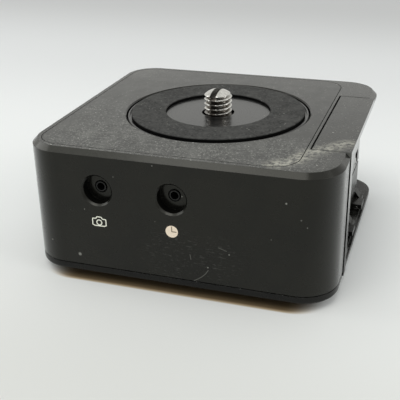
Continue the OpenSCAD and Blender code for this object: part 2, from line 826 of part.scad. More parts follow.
// Camera screw with a shoulder in the platter, a domed tip and a coin slot over the profile's seam
module camera_screw() {
    foot = body_h - screw_depth;
    top = body_h + screw_proud;
    dome_r = (screw_r * screw_r + screw_tip * screw_tip) / (2 * screw_tip);
    color(steel) rotate(slot_turn) difference() {
        rotate(90) rotate_extrude() {
            translate([0, foot]) square([shank_r, platter_top - sink_d - foot]);
            translate([0, foot]) square([screw_r, top - screw_tip - foot]);
            intersection() {
                translate([0, top - screw_tip - eps]) square([screw_r, screw_tip + eps]);
                translate([0, top - dome_r]) circle(dome_r);
            }
        }
        block([-slot_w / 2, -screw_d, top - slot_d], [slot_w / 2, screw_d, top + eps]);
    }
}

// Screws that hold the platter on the spindle flange, from below
module platter_screws() {
    grip = platter_t - 2 * ring_sunk - thread_play;
    head_z = flange_z + spindle_flange_t / 2;
    color(dark_steel) on_circle(spindle_bolt_r, 4, 45)
        translate([0, 0, head_z]) mirror([0, 0, 1]) pan_screw(m25, platter_z + grip - head_z);
}

// Spindle: flange, journal and the bore of the camera screw
module spindle() {
    bore_r = shank_r + thread_play;
    bore_z = body_h - screw_depth - eps;
    color(steel) difference() {
        rotate_extrude() polygon([
            [0, nut_z - spindle_tail], [spindle_r, nut_z - spindle_tail], [spindle_r, flange_z],
            [spindle_flange_r, flange_z], [spindle_flange_r, platter_z], [bore_r, platter_z],
            [bore_r, bore_z], [0, bore_z]
        ]);
        on_circle(spindle_bolt_r, 4, 45) translate([0, 0, flange_z - eps]) {
            cylinder(r = m25[0] + screw_room, h = spindle_flange_t + 2 * eps);
            cylinder(r = m25[1] + screw_room / 2, h = spindle_flange_t / 2 + eps);
        }
        on_circle(spindle_bolt_r, 4)
            translate([0, 0, flange_z - eps]) cylinder(r = m25[0] + thread_play, h = spindle_flange_t);
    }
}

// Spacer sleeves between wheel, upper bearing and lower bearing
module spindle_spacers() {
    color(dark_steel) {
        ring(spindle_r + seat_play, spindle_r + spacer_wall, upper_z + bearing_w, wheel_gap);
        ring(spindle_r + seat_play, spindle_r + spacer_wall, lower_z + bearing_w, bearing_gap);
    }
}

// Ring nut under the lower bearing
module spindle_nut() {
    notch_w = 2;
    notch_d = 1;
    color(dark_steel) difference() {
        ring(spindle_r + thread_play, nut_r, nut_z, nut_t);
        on_circle(nut_r, 4)
            block([-notch_d, -notch_w / 2, nut_z - eps], [eps, notch_w / 2, nut_z + nut_t + eps]);
    }
}

// One bearing ring with its ball groove
module race_ring(r_in, r_out, z) {
    translate([0, 0, z]) rotate_extrude() difference() {
        translate([r_in, 0]) square([r_out - r_in, bearing_w]);
        translate([race_r, bearing_w / 2]) circle(ball_r + ball_play);
    }
}

module bearing_outer_rings() {
    color(steel) for (z = [upper_z, lower_z]) race_ring(race_r + race_half, bearing_r, z);
}

module bearing_inner_rings() {
    color(steel) for (z = [upper_z, lower_z]) race_ring(spindle_r + seat_play, race_r - race_half, z);
}

module bearing_balls() {
    color(steel) for (z = [upper_z, lower_z])
        translate([0, 0, z + bearing_w / 2]) on_circle(race_r, ball_count) sphere(ball_r, $fn = 32);
}

module ball_cages() {
    color(bronze) for (z = [upper_z, lower_z]) translate([0, 0, z + bearing_w / 2]) difference() {
        ring(race_r - cage_half_t, race_r + cage_half_t, -cage_half_w, 2 * cage_half_w);
        on_circle(race_r, ball_count) rotate([0, 90, 0])
            translate([0, 0, -eps]) cylinder(r = ball_r + ball_play / 2, h = 2 * eps);
    }
}

// Tower that carries both bearings on the base plate
module bearing_carrier() {
    top = upper_z + bearing_w + carrier_rise;
    foot_z = base_top + carrier_foot_t;
    seat_r = bearing_r + seat_play;
    rib_r = bearing_r - bearing_lip;
    color(black_plastic) difference() {
        rotate_extrude() polygon([
            [seat_r, base_top], [carrier_foot_r, base_top], [carrier_foot_r, foot_z], [carrier_r, foot_z],
            [carrier_r, top], [seat_r, top], [seat_r, upper_z], [rib_r, upper_z],
            [rib_r, lower_z + bearing_w], [seat_r, lower_z + bearing_w]
        ]);
        on_circle(carrier_bolt_r, 4, 45)
            translate([0, 0, base_top - eps])
                cylinder(r = m25[0] + screw_room, h = carrier_foot_t + 2 * eps);
    }
}

module carrier_screws() {
    foot_z = base_top + carrier_foot_t;
    color(dark_steel) on_circle(carrier_bolt_r, 4, 45)
        translate([0, 0, foot_z]) pan_screw(m25, foot_z - pad_t - base_floor - thread_play);
}

// Point on a circle of the wheel, at an arc length from a tooth's middle
function wheel_point(tooth, r, arc) =
    let (a = 180 + (tooth + 0.5) * 360 / wheel_teeth + arc / r * 180 / PI) [r * cos(a), r * sin(a)];

// Half width of a flank at a height above the pitch line
function flank_half(rise) = tooth_half - rise * tan(flank);

// Helical worm wheel: the tooth lines follow the thread's lead
module worm_wheel() {
    root_half = flank_half(wheel_root_r - wheel_r);
    tip_half = flank_half(addendum);
    color(bronze) difference() {
        translate([0, 0, wheel_z]) rotate(-wheel_twist / 2)
            linear_extrude(wheel_face, twist = -wheel_twist, slices = 2)
                polygon([for (i = [0 : wheel_teeth - 1]) each [
                    wheel_point(i, wheel_root_r, -root_half), wheel_point(i, wheel_tip_r, -tip_half),
                    wheel_point(i, wheel_tip_r, tip_half), wheel_point(i, wheel_root_r, root_half)
                ]]);
        translate([0, 0, wheel_z - eps]) {
            cylinder(r = spindle_r + seat_play, h = wheel_face + 2 * eps);
            on_circle(spindle_bolt_r, 4) cylinder(r = m25[0] + screw_room, h = wheel_face + 2 * eps);
            on_circle((spindle_flange_r + wheel_root_r) / 2, 8, 180 / 8)
                cylinder(r = (wheel_root_r - spindle_flange_r) / 4, h = wheel_face + 2 * eps);
        }
    }
}

module wheel_screws() {
    color(dark_steel) on_circle(spindle_bolt_r, 4)
        translate([0, 0, wheel_z]) mirror([0, 0, 1])
            pan_screw(m25, wheel_face + spindle_flange_t - 2 * eps);
}

// One unbroken thread about the Z axis, as a swept trapezoid
module worm_thread() {
    foot_r = worm_root_r - thread_foot;
    profile = [
        [foot_r, -flank_half(foot_r - worm_pitch_r)], [worm_tip_r, -flank_half(addendum)],
        [worm_tip_r, flank_half(addendum)], [foot_r, flank_half(foot_r - worm_pitch_r)]
    ];
    count = thread_turns * thread_points;
    points = [for (i = [0 : count], q = profile)
        let (a = (i - count / 2) * 360 / thread_points)
        [q[0] * cos(a), q[0] * sin(a), q[1] + thread_pitch * a / 360]];
    sides = [for (i = [0 : count - 1], k = [0 : 3])
        let (n = (k + 1) % 4)
        each [[4 * i + k, 4 * i + n, 4 * i + 4 + n], [4 * i + k, 4 * i + 4 + n, 4 * i + 4 + k]]];
    end = 4 * count;
    caps = [[2, 1, 0], [3, 2, 0], [end, end + 1, end + 2], [end, end + 2, end + 3]];
    polyhedron(points, concat(sides, caps), convexity = 10);
}

// Worm on its shaft, with a shoulder on each side of the thread
module worm() {
    shoulder = bush_place - worm_end_play;
    color(steel) translate([worm_x, 0, mesh_z]) {
        rod_y([0, -worm_len / 2, 0], worm_root_r, worm_len);
        rotate([-90, 0, 0]) worm_thread();
        for (y = [-shoulder, worm_len / 2]) rod_y([0, y, 0], worm_shoulder_r, shoulder - worm_len / 2);
        rod_y([0, -upright_end, 0], worm_shaft_r, 2 * upright_end + coupling_room + coupling_grip);
    }
}

// Flanged bushes of the worm shaft
module worm_bushes() {
    color(bronze) for (s = [0, 1]) translate([worm_x, 0, mesh_z]) mirror([0, s, 0]) difference() {
        union() {
            rod_y([0, bush_place, 0], worm_bush_flange[0], worm_bush_flange[1]);
            rod_y([0, bush_place, 0], worm_bush_r, worm_bush_flange[1] + bush_w);
        }
        rod_y([0, bush_place - eps, 0], worm_shaft_r + run_play, bush_w + worm_bush_flange[1] + 2 * eps);
    }
}

// Coupling between worm and motor
module shaft_coupling() {
    y = upright_end + coupling_room;
    color(dark_steel) translate([worm_x, 0, mesh_z]) difference() {
        rod_y([0, y, 0], coupling_r, coupling_len);
        rod_y([0, y - eps, 0], worm_shaft_r + seat_play, coupling_grip + eps);
        rod_y([0, y, 0], motor_shaft_r + seat_play, coupling_len + eps);
    }
}

module motor_shaft() {
    y = upright_end + coupling_room + coupling_grip + seat_play;
    color(steel) rod_y([worm_x, y, mesh_z], motor_shaft_r, motor_y + motor_shaft_depth - y);
}

// Stepper motor with a pilot in the motor plate
module motor() {
    end_cap = 1.2;
    color(steel) translate([worm_x, 0, mesh_z]) difference() {
        union() {
            rod_y([0, motor_y, 0], motor_r, motor_len - end_cap);
            rod_y([0, motor_y - motor_pilot[1], 0], motor_pilot[0], motor_len + motor_pilot[1]);
        }
        rod_y([0, motor_y - motor_pilot[1] - eps, 0], motor_shaft_r + run_play,
              motor_pilot[1] + motor_shaft_depth + 2 * eps);
        for (s = [-1, 1])
            rod_y([s * motor_bolt_r, motor_y - eps, 0], m2[0] + thread_play, motor_grip + 2 * eps);
    }
}

module motor_screws() {
    color(dark_steel) for (s = [-1, 1])
        translate([worm_x + s * motor_bolt_r, motor_plate_y, mesh_z])
            rotate([90, 0, 0]) pan_screw(m2, motor_plate_t + motor_grip);
}

// Bracket that holds the worm and the motor on the base plate
module drive_bracket() {
    top = mesh_z + drive_rise;
    foot_z = base_top + drive_foot_t;
    color(black_plastic) difference() {
        union() {
            block([drive_x0, -upright_end, base_top], [drive_foot_x1, motor_y, foot_z]);
            block([drive_x0, -upright_end, base_top], [drive_x0 + drive_web_t, upright_end, top]);
            block([drive_x0, upright_y, base_top],
                  [drive_x0 + drive_web_t, motor_y, mesh_z - motor_r]);
            for (y = [-upright_end, upright_y])
                block([drive_x0, y, base_top], [drive_x1, y + bush_w, top]);
            block([drive_x0, motor_plate_y, base_top],
                  [worm_x + motor_r, motor_y, mesh_z + motor_plate_rise]);
        }
        rod_y([worm_x, -upright_end - eps, mesh_z], worm_bush_r + seat_play, bush_w + 2 * eps);
        rod_y([worm_x, upright_y - eps, mesh_z], worm_bush_r + seat_play, bush_w + 2 * eps);
        rod_y([worm_x, motor_plate_y - eps, mesh_z], motor_pilot[0] + seat_play, motor_plate_t + 2 * eps);
        for (s = [-1, 1])
            rod_y([worm_x + s * motor_bolt_r, motor_plate_y - eps, mesh_z],
                  m2[0] + thread_play, motor_plate_t + 2 * eps);
        for (y = drive_screw_y)
            translate([drive_screw_x, y, base_top - eps])
                cylinder(r = m25[0] + screw_room, h = drive_foot_t + 2 * eps);
    }
}

module drive_bracket_screws() {
    foot_z = base_top + drive_foot_t;
    color(dark_steel) for (y = drive_screw_y)
        translate([drive_screw_x, y, foot_z]) pan_screw(m25, foot_z - pad_t - base_floor - thread_play);
}

// Jack socket: nose in the recess, body on the board
module jack(x) {
    tip_y = jack_floor_y - jack_nose_proud;
    body_y = -(body_front - jack_boss_d);
    color(black_plastic) difference() {
        union() {
            rod_y([x, tip_y, jack_z], jack_nose_r, body_y - tip_y);
            block([x - jack_body_w / 2, body_y, jack_z - jack_body_w / 2],
                  [x + jack_body_w / 2, jack_board_y, jack_z + jack_body_w / 2]);
        }
        rod_y([x, tip_y - eps, jack_z], jack_hole_r, jack_hole_len + eps);
    }
}

module camera_jack() {
    jack(jack_x[0]);
}

module timer_jack() {
    jack(jack_x[1]);
}

// Upright board with screw holes
module board(box, y) {
    color(board_green) difference() {
        block([box[0], y, box[2]], [box[1], y + board_t, box[3]]);
        at_board_screws(box, y - eps) rod_y([0, 0, 0], m2[0] + screw_room, board_t + 2 * eps);
    }
}

module jack_board() {
    board(jack_board_box, jack_board_y);
}

// Square chip on the back of the jack board, at a place along it
module chip(x, y, size) {
    block([x - size[0] / 2, y, chip_z - size[0] / 2], [x + size[0] / 2, y + size[1], chip_z + size[0] / 2]);
}

// Processor, motor driver and capacitors on the back of the jack board
module jack_board_chips() {
    chip_y = jack_board_y + board_t;
    color(black_plastic) {
        chip(jack_x[0], chip_y, processor);
        chip((jack_x[0] + jack_x[1]) / 2, chip_y, driver);
        for (s = [-1, 1])
            rod_y([jack_x[1] + s * capacitor_side, chip_y, chip_z], capacitor[0], capacitor[1]);
    }
}

module jack_board_screws() {
    color(dark_steel) at_board_screws(jack_board_box, jack_board_y + board_t)
        rotate([-90, 0, 0]) pan_screw(m2, board_screw_len);
}

module control_board() {
    board(control_board_box, control_board_y);
}

module control_board_screws() {
    color(dark_steel) at_board_screws(control_board_box, control_board_y)
        rotate([90, 0, 0]) pan_screw(m2, board_screw_len - thread_play);
}

// Push switch behind the start button
module tact_switch() {
    color(black_plastic) block(
        [button_x - tact_w / 2, control_face_y, control_z - tact_w / 2],
        [button_x + tact_w / 2, control_face_y + tact_h, control_z + tact_w / 2]);
}

// Charging socket: thin shell with a contact tongue
module usb_socket() {
    len = body_back - usb_inset - control_face_y;
    color(steel) {
        difference() {
            usb_slot([usb_x, control_face_y, control_z], usb_w, usb_h, len);
            usb_slot([usb_x, control_face_y + usb_back, control_z],
                     usb_w - 2 * usb_shell, usb_h - 2 * usb_shell, len);
        }
        translate([usb_x - usb_tongue[0] / 2, control_face_y + usb_back / 2, control_z - usb_tongue[1] / 2])
            cube([usb_tongue[0], len - usb_tongue[2] - usb_back / 2, usb_tongue[1]]);
    }
}

// Slide switch on the board, open for the slider's stem
module switch_body() {
    slot_half = (slider_len + slider_travel) / 2 + control_gap;
    color(dark_steel) difference() {
        block([slider_x - switch_size[0] / 2, control_face_y, control_z - switch_size[1] / 2],
              [slider_x + switch_size[0] / 2, switch_y, control_z + switch_size[1] / 2]);
        block([slider_x - slot_half, switch_y - switch_slot_d, control_z - switch_slot_h / 2],
              [slider_x + slot_half, switch_y + eps, control_z + switch_slot_h / 2]);
    }
}

// Slider knob and its stem, at the off end of the slot
module power_slider() {
    x = slider_x - slider_travel / 2;
    stem_y = switch_y - switch_slot_d + control_gap;
    knob_y = switch_y + control_gap;
    tip_y = body_back + button_proud;
    stem_half = switch_slot_h / 2 - control_gap;
    color(black_plastic) {
        block([x - slider_len / 2, stem_y, control_z - stem_half],
              [x + slider_len / 2, knob_y + eps, control_z + stem_half]);
        difference() {
            block([x - slider_len / 2, knob_y, control_z - slider_h / 2],
                  [x + slider_len / 2, tip_y, control_z + slider_h / 2]);
            for (s = [-1 : 1])
                translate([x + s * slider_len / 4, tip_y, control_z])
                    block([-knob_groove[0], -knob_groove[1], -slider_h], [knob_groove[0], eps, slider_h]);
        }
    }
}

// Start button: dished cap with a flange behind the wall
module start_button() {
    flange_y = inner_back - control_gap - button_flange[1];
    tip_y = body_back + button_proud;
    color(black_plastic) difference() {
        union() {
            rod_y([button_x, flange_y, control_z], button_flange[0], button_flange[1]);
            rod_y([button_x, flange_y, control_z], button_r, tip_y - flange_y);
        }
        translate([button_x, tip_y + button_dish[0] - button_dish[1], control_z]) sphere(button_dish[0]);
    }
}

// Light pipes from the control board to the back face
module status_lights() {
    color(light_clear) for (x = light_x)
        rod_y([x, control_face_y, control_z + light_lift], light_r, body_back + light_proud - control_face_y);
}

// Battery cell with round upright edges
module battery() {
    color(cell_grey) translate([0, 0, cell_z]) linear_extrude(cell_h)
        round_rect(cell_x0, cell_x0 + cell_t, -cell_len / 2, cell_len / 2, cell_round);
}

// Open tray that holds the cell on the base plate
module battery_tray() {
    reach = cell_len / 2 + seat_play;
    color(black_plastic) difference() {
        block([tray_x0, -reach - tray_wall, base_top], [tray_x1, reach + tray_wall, base_top + tray_h]);
        block([tray_x0 + tray_wall, -reach, base_top + tray_wall],
              [tray_x1 - tray_wall, reach, base_top + tray_h + eps]);
    }
}

// Cheek of the bracket, from the flange to below the hinge and thinner towards it
module bracket_cheek() {
    top = body_h - flange_t / 2;
    foot_z = hinge_z - cheek_drop;
    front_y = -flange_half;
    intersection() {
        translate([0, front_y + cheek_top, 0]) rotate([90, 0, 0]) linear_extrude(cheek_top)
            polygon([
                [plate_x, top], [right_x, top], [right_x, foot_z], [hinge_x, foot_z], [plate_x, plate_z]
            ]);
        translate([plate_x - eps, 0, 0]) rotate([90, 0, 90]) linear_extrude(right_x - plate_x + 2 * eps)
            polygon([
                [front_y, 0], [front_y + cheek_foot, 0], [front_y + cheek_foot, plate_z],
                [front_y + cheek_top, top], [front_y, top]
            ]);
    }
}

// Fold-out bracket: flange, clamp plate, cheek and two knuckles
module alignment_bracket() {
    color(black_metal) difference() {
        union() {
            block([flange_x, -flange_half, body_h - flange_t], [right_x, flange_half, body_h]);
            block([plate_x, -flange_half, plate_z], [plate_x + plate_t, plate_back, body_h - flange_t / 2]);
            bracket_cheek();
            for (y = knuckle_y) {
                rod_y([hinge_x, y, hinge_z], knuckle_r, knuckle_len);
                translate([0, y + knuckle_len, 0]) rotate([90, 0, 0]) linear_extrude(knuckle_len)
                    polygon([
                        [hinge_x - knuckle_r, hinge_z], [hinge_x + knuckle_r, hinge_z],
                        [plate_x + plate_t, plate_z + eps], [plate_x, plate_z + eps]
                    ]);
            }
        }
        translate([plate_x - eps, -clamp_y, clamp_z]) rotate([0, 90, 0])
            cylinder(r = clamp_r, h = plate_t + 2 * eps);
        block([plate_x - eps, -clamp_y, clamp_z - slit_w / 2],
              [plate_x + plate_t + eps, plate_back + eps, clamp_z + slit_w / 2]);
        block([plate_x - eps, window_y, clamp_lip_z],
              [plate_x + plate_t + eps, window_y + window[0], clamp_lip_z + window[1]]);
        translate([clamp_screw_x, clamp_screw_y, clamp_lip_z - clamp_screw_len - eps])
            cylinder(r = clamp_shank_r + thread_play, h = clamp_screw_len + 2 * eps);
        rod_y([hinge_x, -flange_half - eps, hinge_z], pin_r + pin_play, cheek_foot + 2 * eps);
        for (y = knuckle_y) rod_y([hinge_x, y - eps, hinge_z], pin_r + pin_play, knuckle_len + 2 * eps);
    }
}

// Socket screw that closes the clamp slit
module clamp_screw() {
    color(steel) translate([clamp_screw_x, clamp_screw_y, clamp_lip_z]) {
        difference() {
            cylinder(r = clamp_head[0], h = clamp_head[1]);
            translate([0, 0, clamp_head[1] / 2]) cylinder(r = clamp_head[0] / 2, h = clamp_head[1], $fn = 6);
        }
        translate([0, 0, -clamp_screw_len]) cylinder(r = clamp_shank_r, h = clamp_screw_len);
    }
}

// Pins pressed into the lugs, one for each station of the hinge
module hinge_pins() {
    color(steel) {
        rod_y([hinge_x, -flange_half, hinge_z], pin_r, lug_y[0] + lug_len + flange_half);
        for (y = [lug_y[1], lug_y[2]]) rod_y([hinge_x, y, hinge_z], pin_r, lug_len + hinge_gap + knuckle_len);
    }
}

housing();
top_panel();
base_plate();
base_pad();
base_screws();
tripod_bush();
platter();
rubber_ring();
camera_screw();
platter_screws();
spindle();
spindle_spacers();
spindle_nut();
bearing_outer_rings();
bearing_inner_rings();
bearing_balls();
ball_cages();
bearing_carrier();
carrier_screws();
worm_wheel();
wheel_screws();
worm();
worm_bushes();
shaft_coupling();
motor_shaft();
motor();
motor_screws();
drive_bracket();
drive_bracket_screws();
camera_jack();
timer_jack();
jack_board();
jack_board_chips();
jack_board_screws();
control_board();
control_board_screws();
tact_switch();
usb_socket();
switch_body();
power_slider();
start_button();
status_lights();
battery();
battery_tray();
alignment_bracket();
clamp_screw();
hinge_pins();
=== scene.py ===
import json
import math

import bmesh
import bpy
from mathutils import Matrix, Vector

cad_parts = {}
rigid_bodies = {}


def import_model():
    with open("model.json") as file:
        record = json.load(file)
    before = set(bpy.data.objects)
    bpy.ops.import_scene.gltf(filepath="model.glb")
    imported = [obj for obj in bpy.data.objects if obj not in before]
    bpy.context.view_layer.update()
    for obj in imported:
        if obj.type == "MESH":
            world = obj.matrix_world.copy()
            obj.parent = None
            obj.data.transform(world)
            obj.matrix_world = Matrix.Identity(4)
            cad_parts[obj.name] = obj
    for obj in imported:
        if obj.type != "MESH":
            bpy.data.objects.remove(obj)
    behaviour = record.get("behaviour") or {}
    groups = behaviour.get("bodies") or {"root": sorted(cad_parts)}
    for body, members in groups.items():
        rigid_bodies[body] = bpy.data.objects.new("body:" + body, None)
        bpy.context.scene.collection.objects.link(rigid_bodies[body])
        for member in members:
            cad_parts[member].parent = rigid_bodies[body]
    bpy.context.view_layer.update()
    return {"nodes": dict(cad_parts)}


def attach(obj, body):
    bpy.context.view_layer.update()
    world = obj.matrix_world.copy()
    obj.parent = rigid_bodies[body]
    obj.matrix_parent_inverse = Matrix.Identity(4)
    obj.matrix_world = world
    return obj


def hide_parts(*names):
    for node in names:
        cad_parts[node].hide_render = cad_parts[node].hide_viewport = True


# Looks of a star-tracking turntable, laid round its solid pieces. Z is up and the front faces -Y.
# The scene is in metres; shapes and materials are written in millimetres, and MM converts them.
MM = 0.001

for old in list(bpy.data.objects):
    bpy.data.objects.remove(old)
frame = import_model()
scene = bpy.context.scene
scene.view_settings.view_transform = "Standard"

# Front and top faces of the housing
FRONT_Y = -47.8
TOP_Z = 45.0


# Camera

CAMERA_PLACE = (75.761, -243.228, 128.939)
CAMERA_AZIMUTH = math.radians(18.84)
CAMERA_ELEVATION = math.radians(24.823)
CAMERA_ROLL = math.radians(1.076)
FOCAL_PX = 772.898
IMAGE_PX = 400
SENSOR = 36.0


def add_camera():
    """Camera at the photograph's viewpoint."""
    level = math.cos(CAMERA_ELEVATION)
    ahead = Vector((
        -math.sin(CAMERA_AZIMUTH) * level, math.cos(CAMERA_AZIMUTH) * level, -math.sin(CAMERA_ELEVATION)))
    right = Vector((math.cos(CAMERA_AZIMUTH), math.sin(CAMERA_AZIMUTH), 0))
    up = right.cross(ahead)
    c, s = math.cos(CAMERA_ROLL), math.sin(CAMERA_ROLL)
    axes = (c * right - s * up, s * right + c * up, -ahead)
    data = bpy.data.cameras.new("camera")
    data.sensor_width = SENSOR
    data.lens = FOCAL_PX / IMAGE_PX * SENSOR
    data.clip_start = 0.01
    camera = bpy.data.objects.new("camera", data)
    scene.collection.objects.link(camera)
    camera.matrix_world = Matrix.Translation(Vector(CAMERA_PLACE) * MM) @ Matrix(axes).transposed().to_4x4()
    scene.camera = camera


# Materials

class Finish:
    """One material's node tree. Lengths in it are millimetres of the piece's own frame."""

    def __init__(self, name, colour, roughness, sockets=None):
        self.material = bpy.data.materials.new(name)
        self.material.use_nodes = True
        self.material.diffuse_color = (*colour, 1)
        self.tree = self.material.node_tree
        self.shader = self.tree.nodes["Principled BSDF"]
        coords = self.tree.nodes.new("ShaderNodeTexCoord")
        self.facing = coords.outputs["Normal"]
        self.place = self.vector("SCALE", coords.outputs["Object"], scale=1 / MM)
        self.colour = colour
        self.roughness = roughness
        self.normal = None
        for key, value in (sockets or {}).items():
            self.shader.inputs[key].default_value = value

    def put(self, node, key, value):
        socket = node.inputs[key]
        if isinstance(value, bpy.types.NodeSocket):
            self.tree.links.new(value, socket)
        elif isinstance(value, (tuple, list)) and len(value) == 3 and socket.type == "RGBA":
            socket.default_value = (*value, 1)
        else:
            socket.default_value = value

    def add(self, kind, sockets, **settings):
        node = self.tree.nodes.new(kind)
        for key, value in settings.items():
            setattr(node, key, value)
        for key, value in sockets.items():
            self.put(node, key, value)
        return node

    def vector(self, operation, a, b=None, scale=None):
        sockets = {0: a}
        if b is not None:
            sockets[1] = b
        if scale is not None:
            sockets["Scale"] = scale
        node = self.add("ShaderNodeVectorMath", sockets, operation=operation)
        return node.outputs["Value" if operation in ("LENGTH", "DISTANCE", "DOT_PRODUCT") else "Vector"]

    def math(self, operation, a, b=0.0):
        return self.add("ShaderNodeMath", {0: a, 1: b}, operation=operation).outputs[0]

    def times(self, first, *others):
        for other in others:
            first = self.math("MULTIPLY", first, other)
        return first

    def most(self, first, *others):
        for other in others:
            first = self.math("MAXIMUM", first, other)
        return first

    def span(self, value, low, high, to_low=0.0, to_high=1.0):
        """Smooth step of a value between two limits."""
        node = self.add("ShaderNodeMapRange", {
            "Value": value, "From Min": low, "From Max": high, "To Min": to_low, "To Max": to_high},
            interpolation_type="SMOOTHSTEP")
        return node.outputs[0]

    def tint(self, factor, a, b):
        node = self.add("ShaderNodeMix", {0: factor, 6: a, 7: b}, data_type="RGBA")
        return node.outputs[2]

    def axis(self, letter, source=None):
        node = self.add("ShaderNodeSeparateXYZ", {0: source or self.place})
        return node.outputs[letter]

    def axis_distance(self):
        """Distance from the turntable's axis."""
        return self.vector("LENGTH", self.vector("MULTIPLY", self.place, (1, 1, 0)))

    def shifted(self, stretch, seed):
        """The place, stretched along the axes and moved to another part of the pattern."""
        node = self.add("ShaderNodeMapping", {
            "Vector": self.place, "Location": (seed * 37.1, seed * 11.7, seed * 5.3), "Scale": stretch})
        return node.outputs[0]

    def noise(self, size, detail=3.0, rough=0.55, stretch=(1, 1, 1), seed=0, warp=0.0):
        """Fractal noise with features of that size in millimetres, from about 0.25 to 0.75."""
        node = self.add("ShaderNodeTexNoise", {
            "Vector": self.shifted(stretch, seed), "Scale": 1 / size, "Detail": detail,
            "Roughness": rough, "Distortion": warp})
        return node.outputs[0]

    def specks(self, size, share, seed, spread=0.32):
        """Round grains on a loose lattice of that size; share is the part of it that holds one."""
        cells = self.add("ShaderNodeTexVoronoi", {
            "Vector": self.shifted((1, 1, 1), seed), "Scale": 1 / size, "Randomness": 1.0})
        draw = self.add("ShaderNodeSeparateColor", {0: cells.outputs["Color"]}).outputs
        reach = self.span(draw[1], 0.0, 1.0, 0.25 * spread, spread)
        edge = self.math("SUBTRACT", reach, cells.outputs["Distance"])
        grain = self.span(edge, 0.0, 0.5 * spread)
        return self.times(grain, self.math("LESS_THAN", draw[0], share))

    def near(self, point, radius, fade):
        """1 within a radius of a point, falling to 0 over the fade."""
        distance = self.vector("DISTANCE", self.place, point)
        return self.span(distance, radius + fade, radius)

    def along(self, a, b, radius, fade):
        """1 within a radius of the line between two points, falling to 0 over the fade."""
        a, b = Vector(a), Vector(b)
        run = b - a
        offset = self.vector("SUBTRACT", self.place, tuple(a))
        share = self.vector("DOT_PRODUCT", offset, tuple(run))
        share = self.math("MULTIPLY", share, 1 / run.length_squared)
        share = self.add("ShaderNodeClamp", {0: share}).outputs[0]
        foot = self.vector("SCALE", tuple(run), scale=share)
        return self.span(self.vector("DISTANCE", offset, foot), radius + fade, radius)

    def paint(self, mask, colour, roughness=None):
        """Lays another colour, and roughness, over the finish where the mask is 1."""
        self.colour = self.tint(mask, self.colour, colour)
        if roughness is not None:
            self.roughness = self.blend(mask, self.roughness, roughness)

    def blend(self, factor, a, b):
        node = self.add("ShaderNodeMix", {0: factor, 2: a, 3: b}, data_type="FLOAT")
        return node.outputs[0]

    def soft_edges(self, radius):
        """Rounds the look of sharp edges and gives a mask of them."""
        bevel = self.add("ShaderNodeBevel", {"Radius": radius * MM}, samples=6)
        self.normal = bevel.outputs[0]
        plain = self.tree.nodes.new("ShaderNodeNewGeometry").outputs["Normal"]
        return self.span(self.vector("DOT_PRODUCT", self.normal, plain), 0.985, 0.85)

    def bump(self, height, depth, strength=1.0):
        """Relief from a height pattern; depth is in millimetres."""
        sockets = {"Height": height, "Distance": depth * MM, "Strength": strength}
        if self.normal is not None:
            sockets["Normal"] = self.normal
        self.normal = self.add("ShaderNodeBump", sockets).outputs[0]

    def done(self):
        self.put(self.shader, "Base Color", self.colour)
        self.put(self.shader, "Roughness", self.roughness)
        if self.normal is not None:
            self.put(self.shader, "Normal", self.normal)
        return self.material


BLACK_SHEEN = {
    "Specular IOR Level": 0.17, "Specular Tint": (1, 1, 0.84, 1),
    "Coat Weight": 0.7, "Coat IOR": 1.3, "Coat Roughness": 0.14}
PLATTER_SHEEN = {"Coat Weight": 0.6, "Coat IOR": 1.3, "Coat Roughness": 0.12}
BASE_SHEEN = {"Specular IOR Level": 0.22}
DUST = (0.5, 0.5, 0.455)
PALE_DUST = (0.58, 0.56, 0.47)
# Dusty patches of the top face: x, y, radius, fade and strength
DUST_PATCHES = [
    (-27, -35, 8, 22, 1.0),
    (4, -41, 6, 26, 1.0),
    (-38, -12, 4, 22, 0.55),
    (30, -36, 5, 20, 1.0),
    (-40, 39, 3, 10, 0.5),
]
SMEAR_PATH = [(30, -42.5), (35, -38.5), (38, -30.5), (43, -25.5), (47.6, -20)]
SMEAR_HALF = 0.6
SMEAR_FADE = 4.2


def dust_field(f):
    """Where dust lies thickest on the top face, in the frame of the whole part."""
    patches = []
    for x, y, radius, fade, strength in DUST_PATCHES:
        patches.append(f.times(f.near((x, y, TOP_Z), radius, fade), strength))
    return f.most(*patches)


def smear_field(f):
    """Pale band of dust wiped across the front right corner of the top face."""
    path = [(x, y, TOP_Z) for x, y in SMEAR_PATH]
    bands = [f.along(a, b, SMEAR_HALF, SMEAR_FADE) for a, b in zip(path, path[1:])]
    return f.times(f.most(*bands), f.span(f.noise(1.6, 4, 0.7, seed=9), 0.38, 0.62))


def lay_top_dust(f, amount=1.0):
    """Haze, mottled dust, grains and wiped streaks on faces that look up."""
    up = f.span(f.axis("Z", f.facing), 0.72, 0.9)
    field = dust_field(f)
    haze = f.span(f.noise(5, 5, 0.65, stretch=(1, 0.45, 1), seed=3), 0.42, 0.72)
    streaks = f.span(f.noise(2.2, 4, 0.6, stretch=(0.35, 1.4, 1), seed=4, warp=0.6), 0.5, 0.75)
    film = f.most(f.times(haze, field, 0.13), f.times(streaks, field, 0.16), f.times(haze, 0.03))
    mottle = f.span(f.noise(0.9, 5, 0.8, seed=7), 0.5, 0.66)
    mottle = f.times(mottle, f.span(field, 0.0, 1.0, 0.05, 0.33))
    f.paint(f.times(up, f.most(film, mottle), amount), DUST, 0.62)
    crowd = f.span(field, 0.0, 1.0, 0.2, 0.75)
    fine = f.times(f.specks(0.6, crowd, 5, 0.38), 0.45)
    coarse = f.times(f.specks(1.9, f.times(crowd, 0.3), 6, 0.16), 0.8)
    f.paint(f.times(up, f.most(fine, coarse), amount), DUST, 0.8)
    f.paint(f.times(up, smear_field(f), 0.5 * amount), PALE_DUST, 0.75)


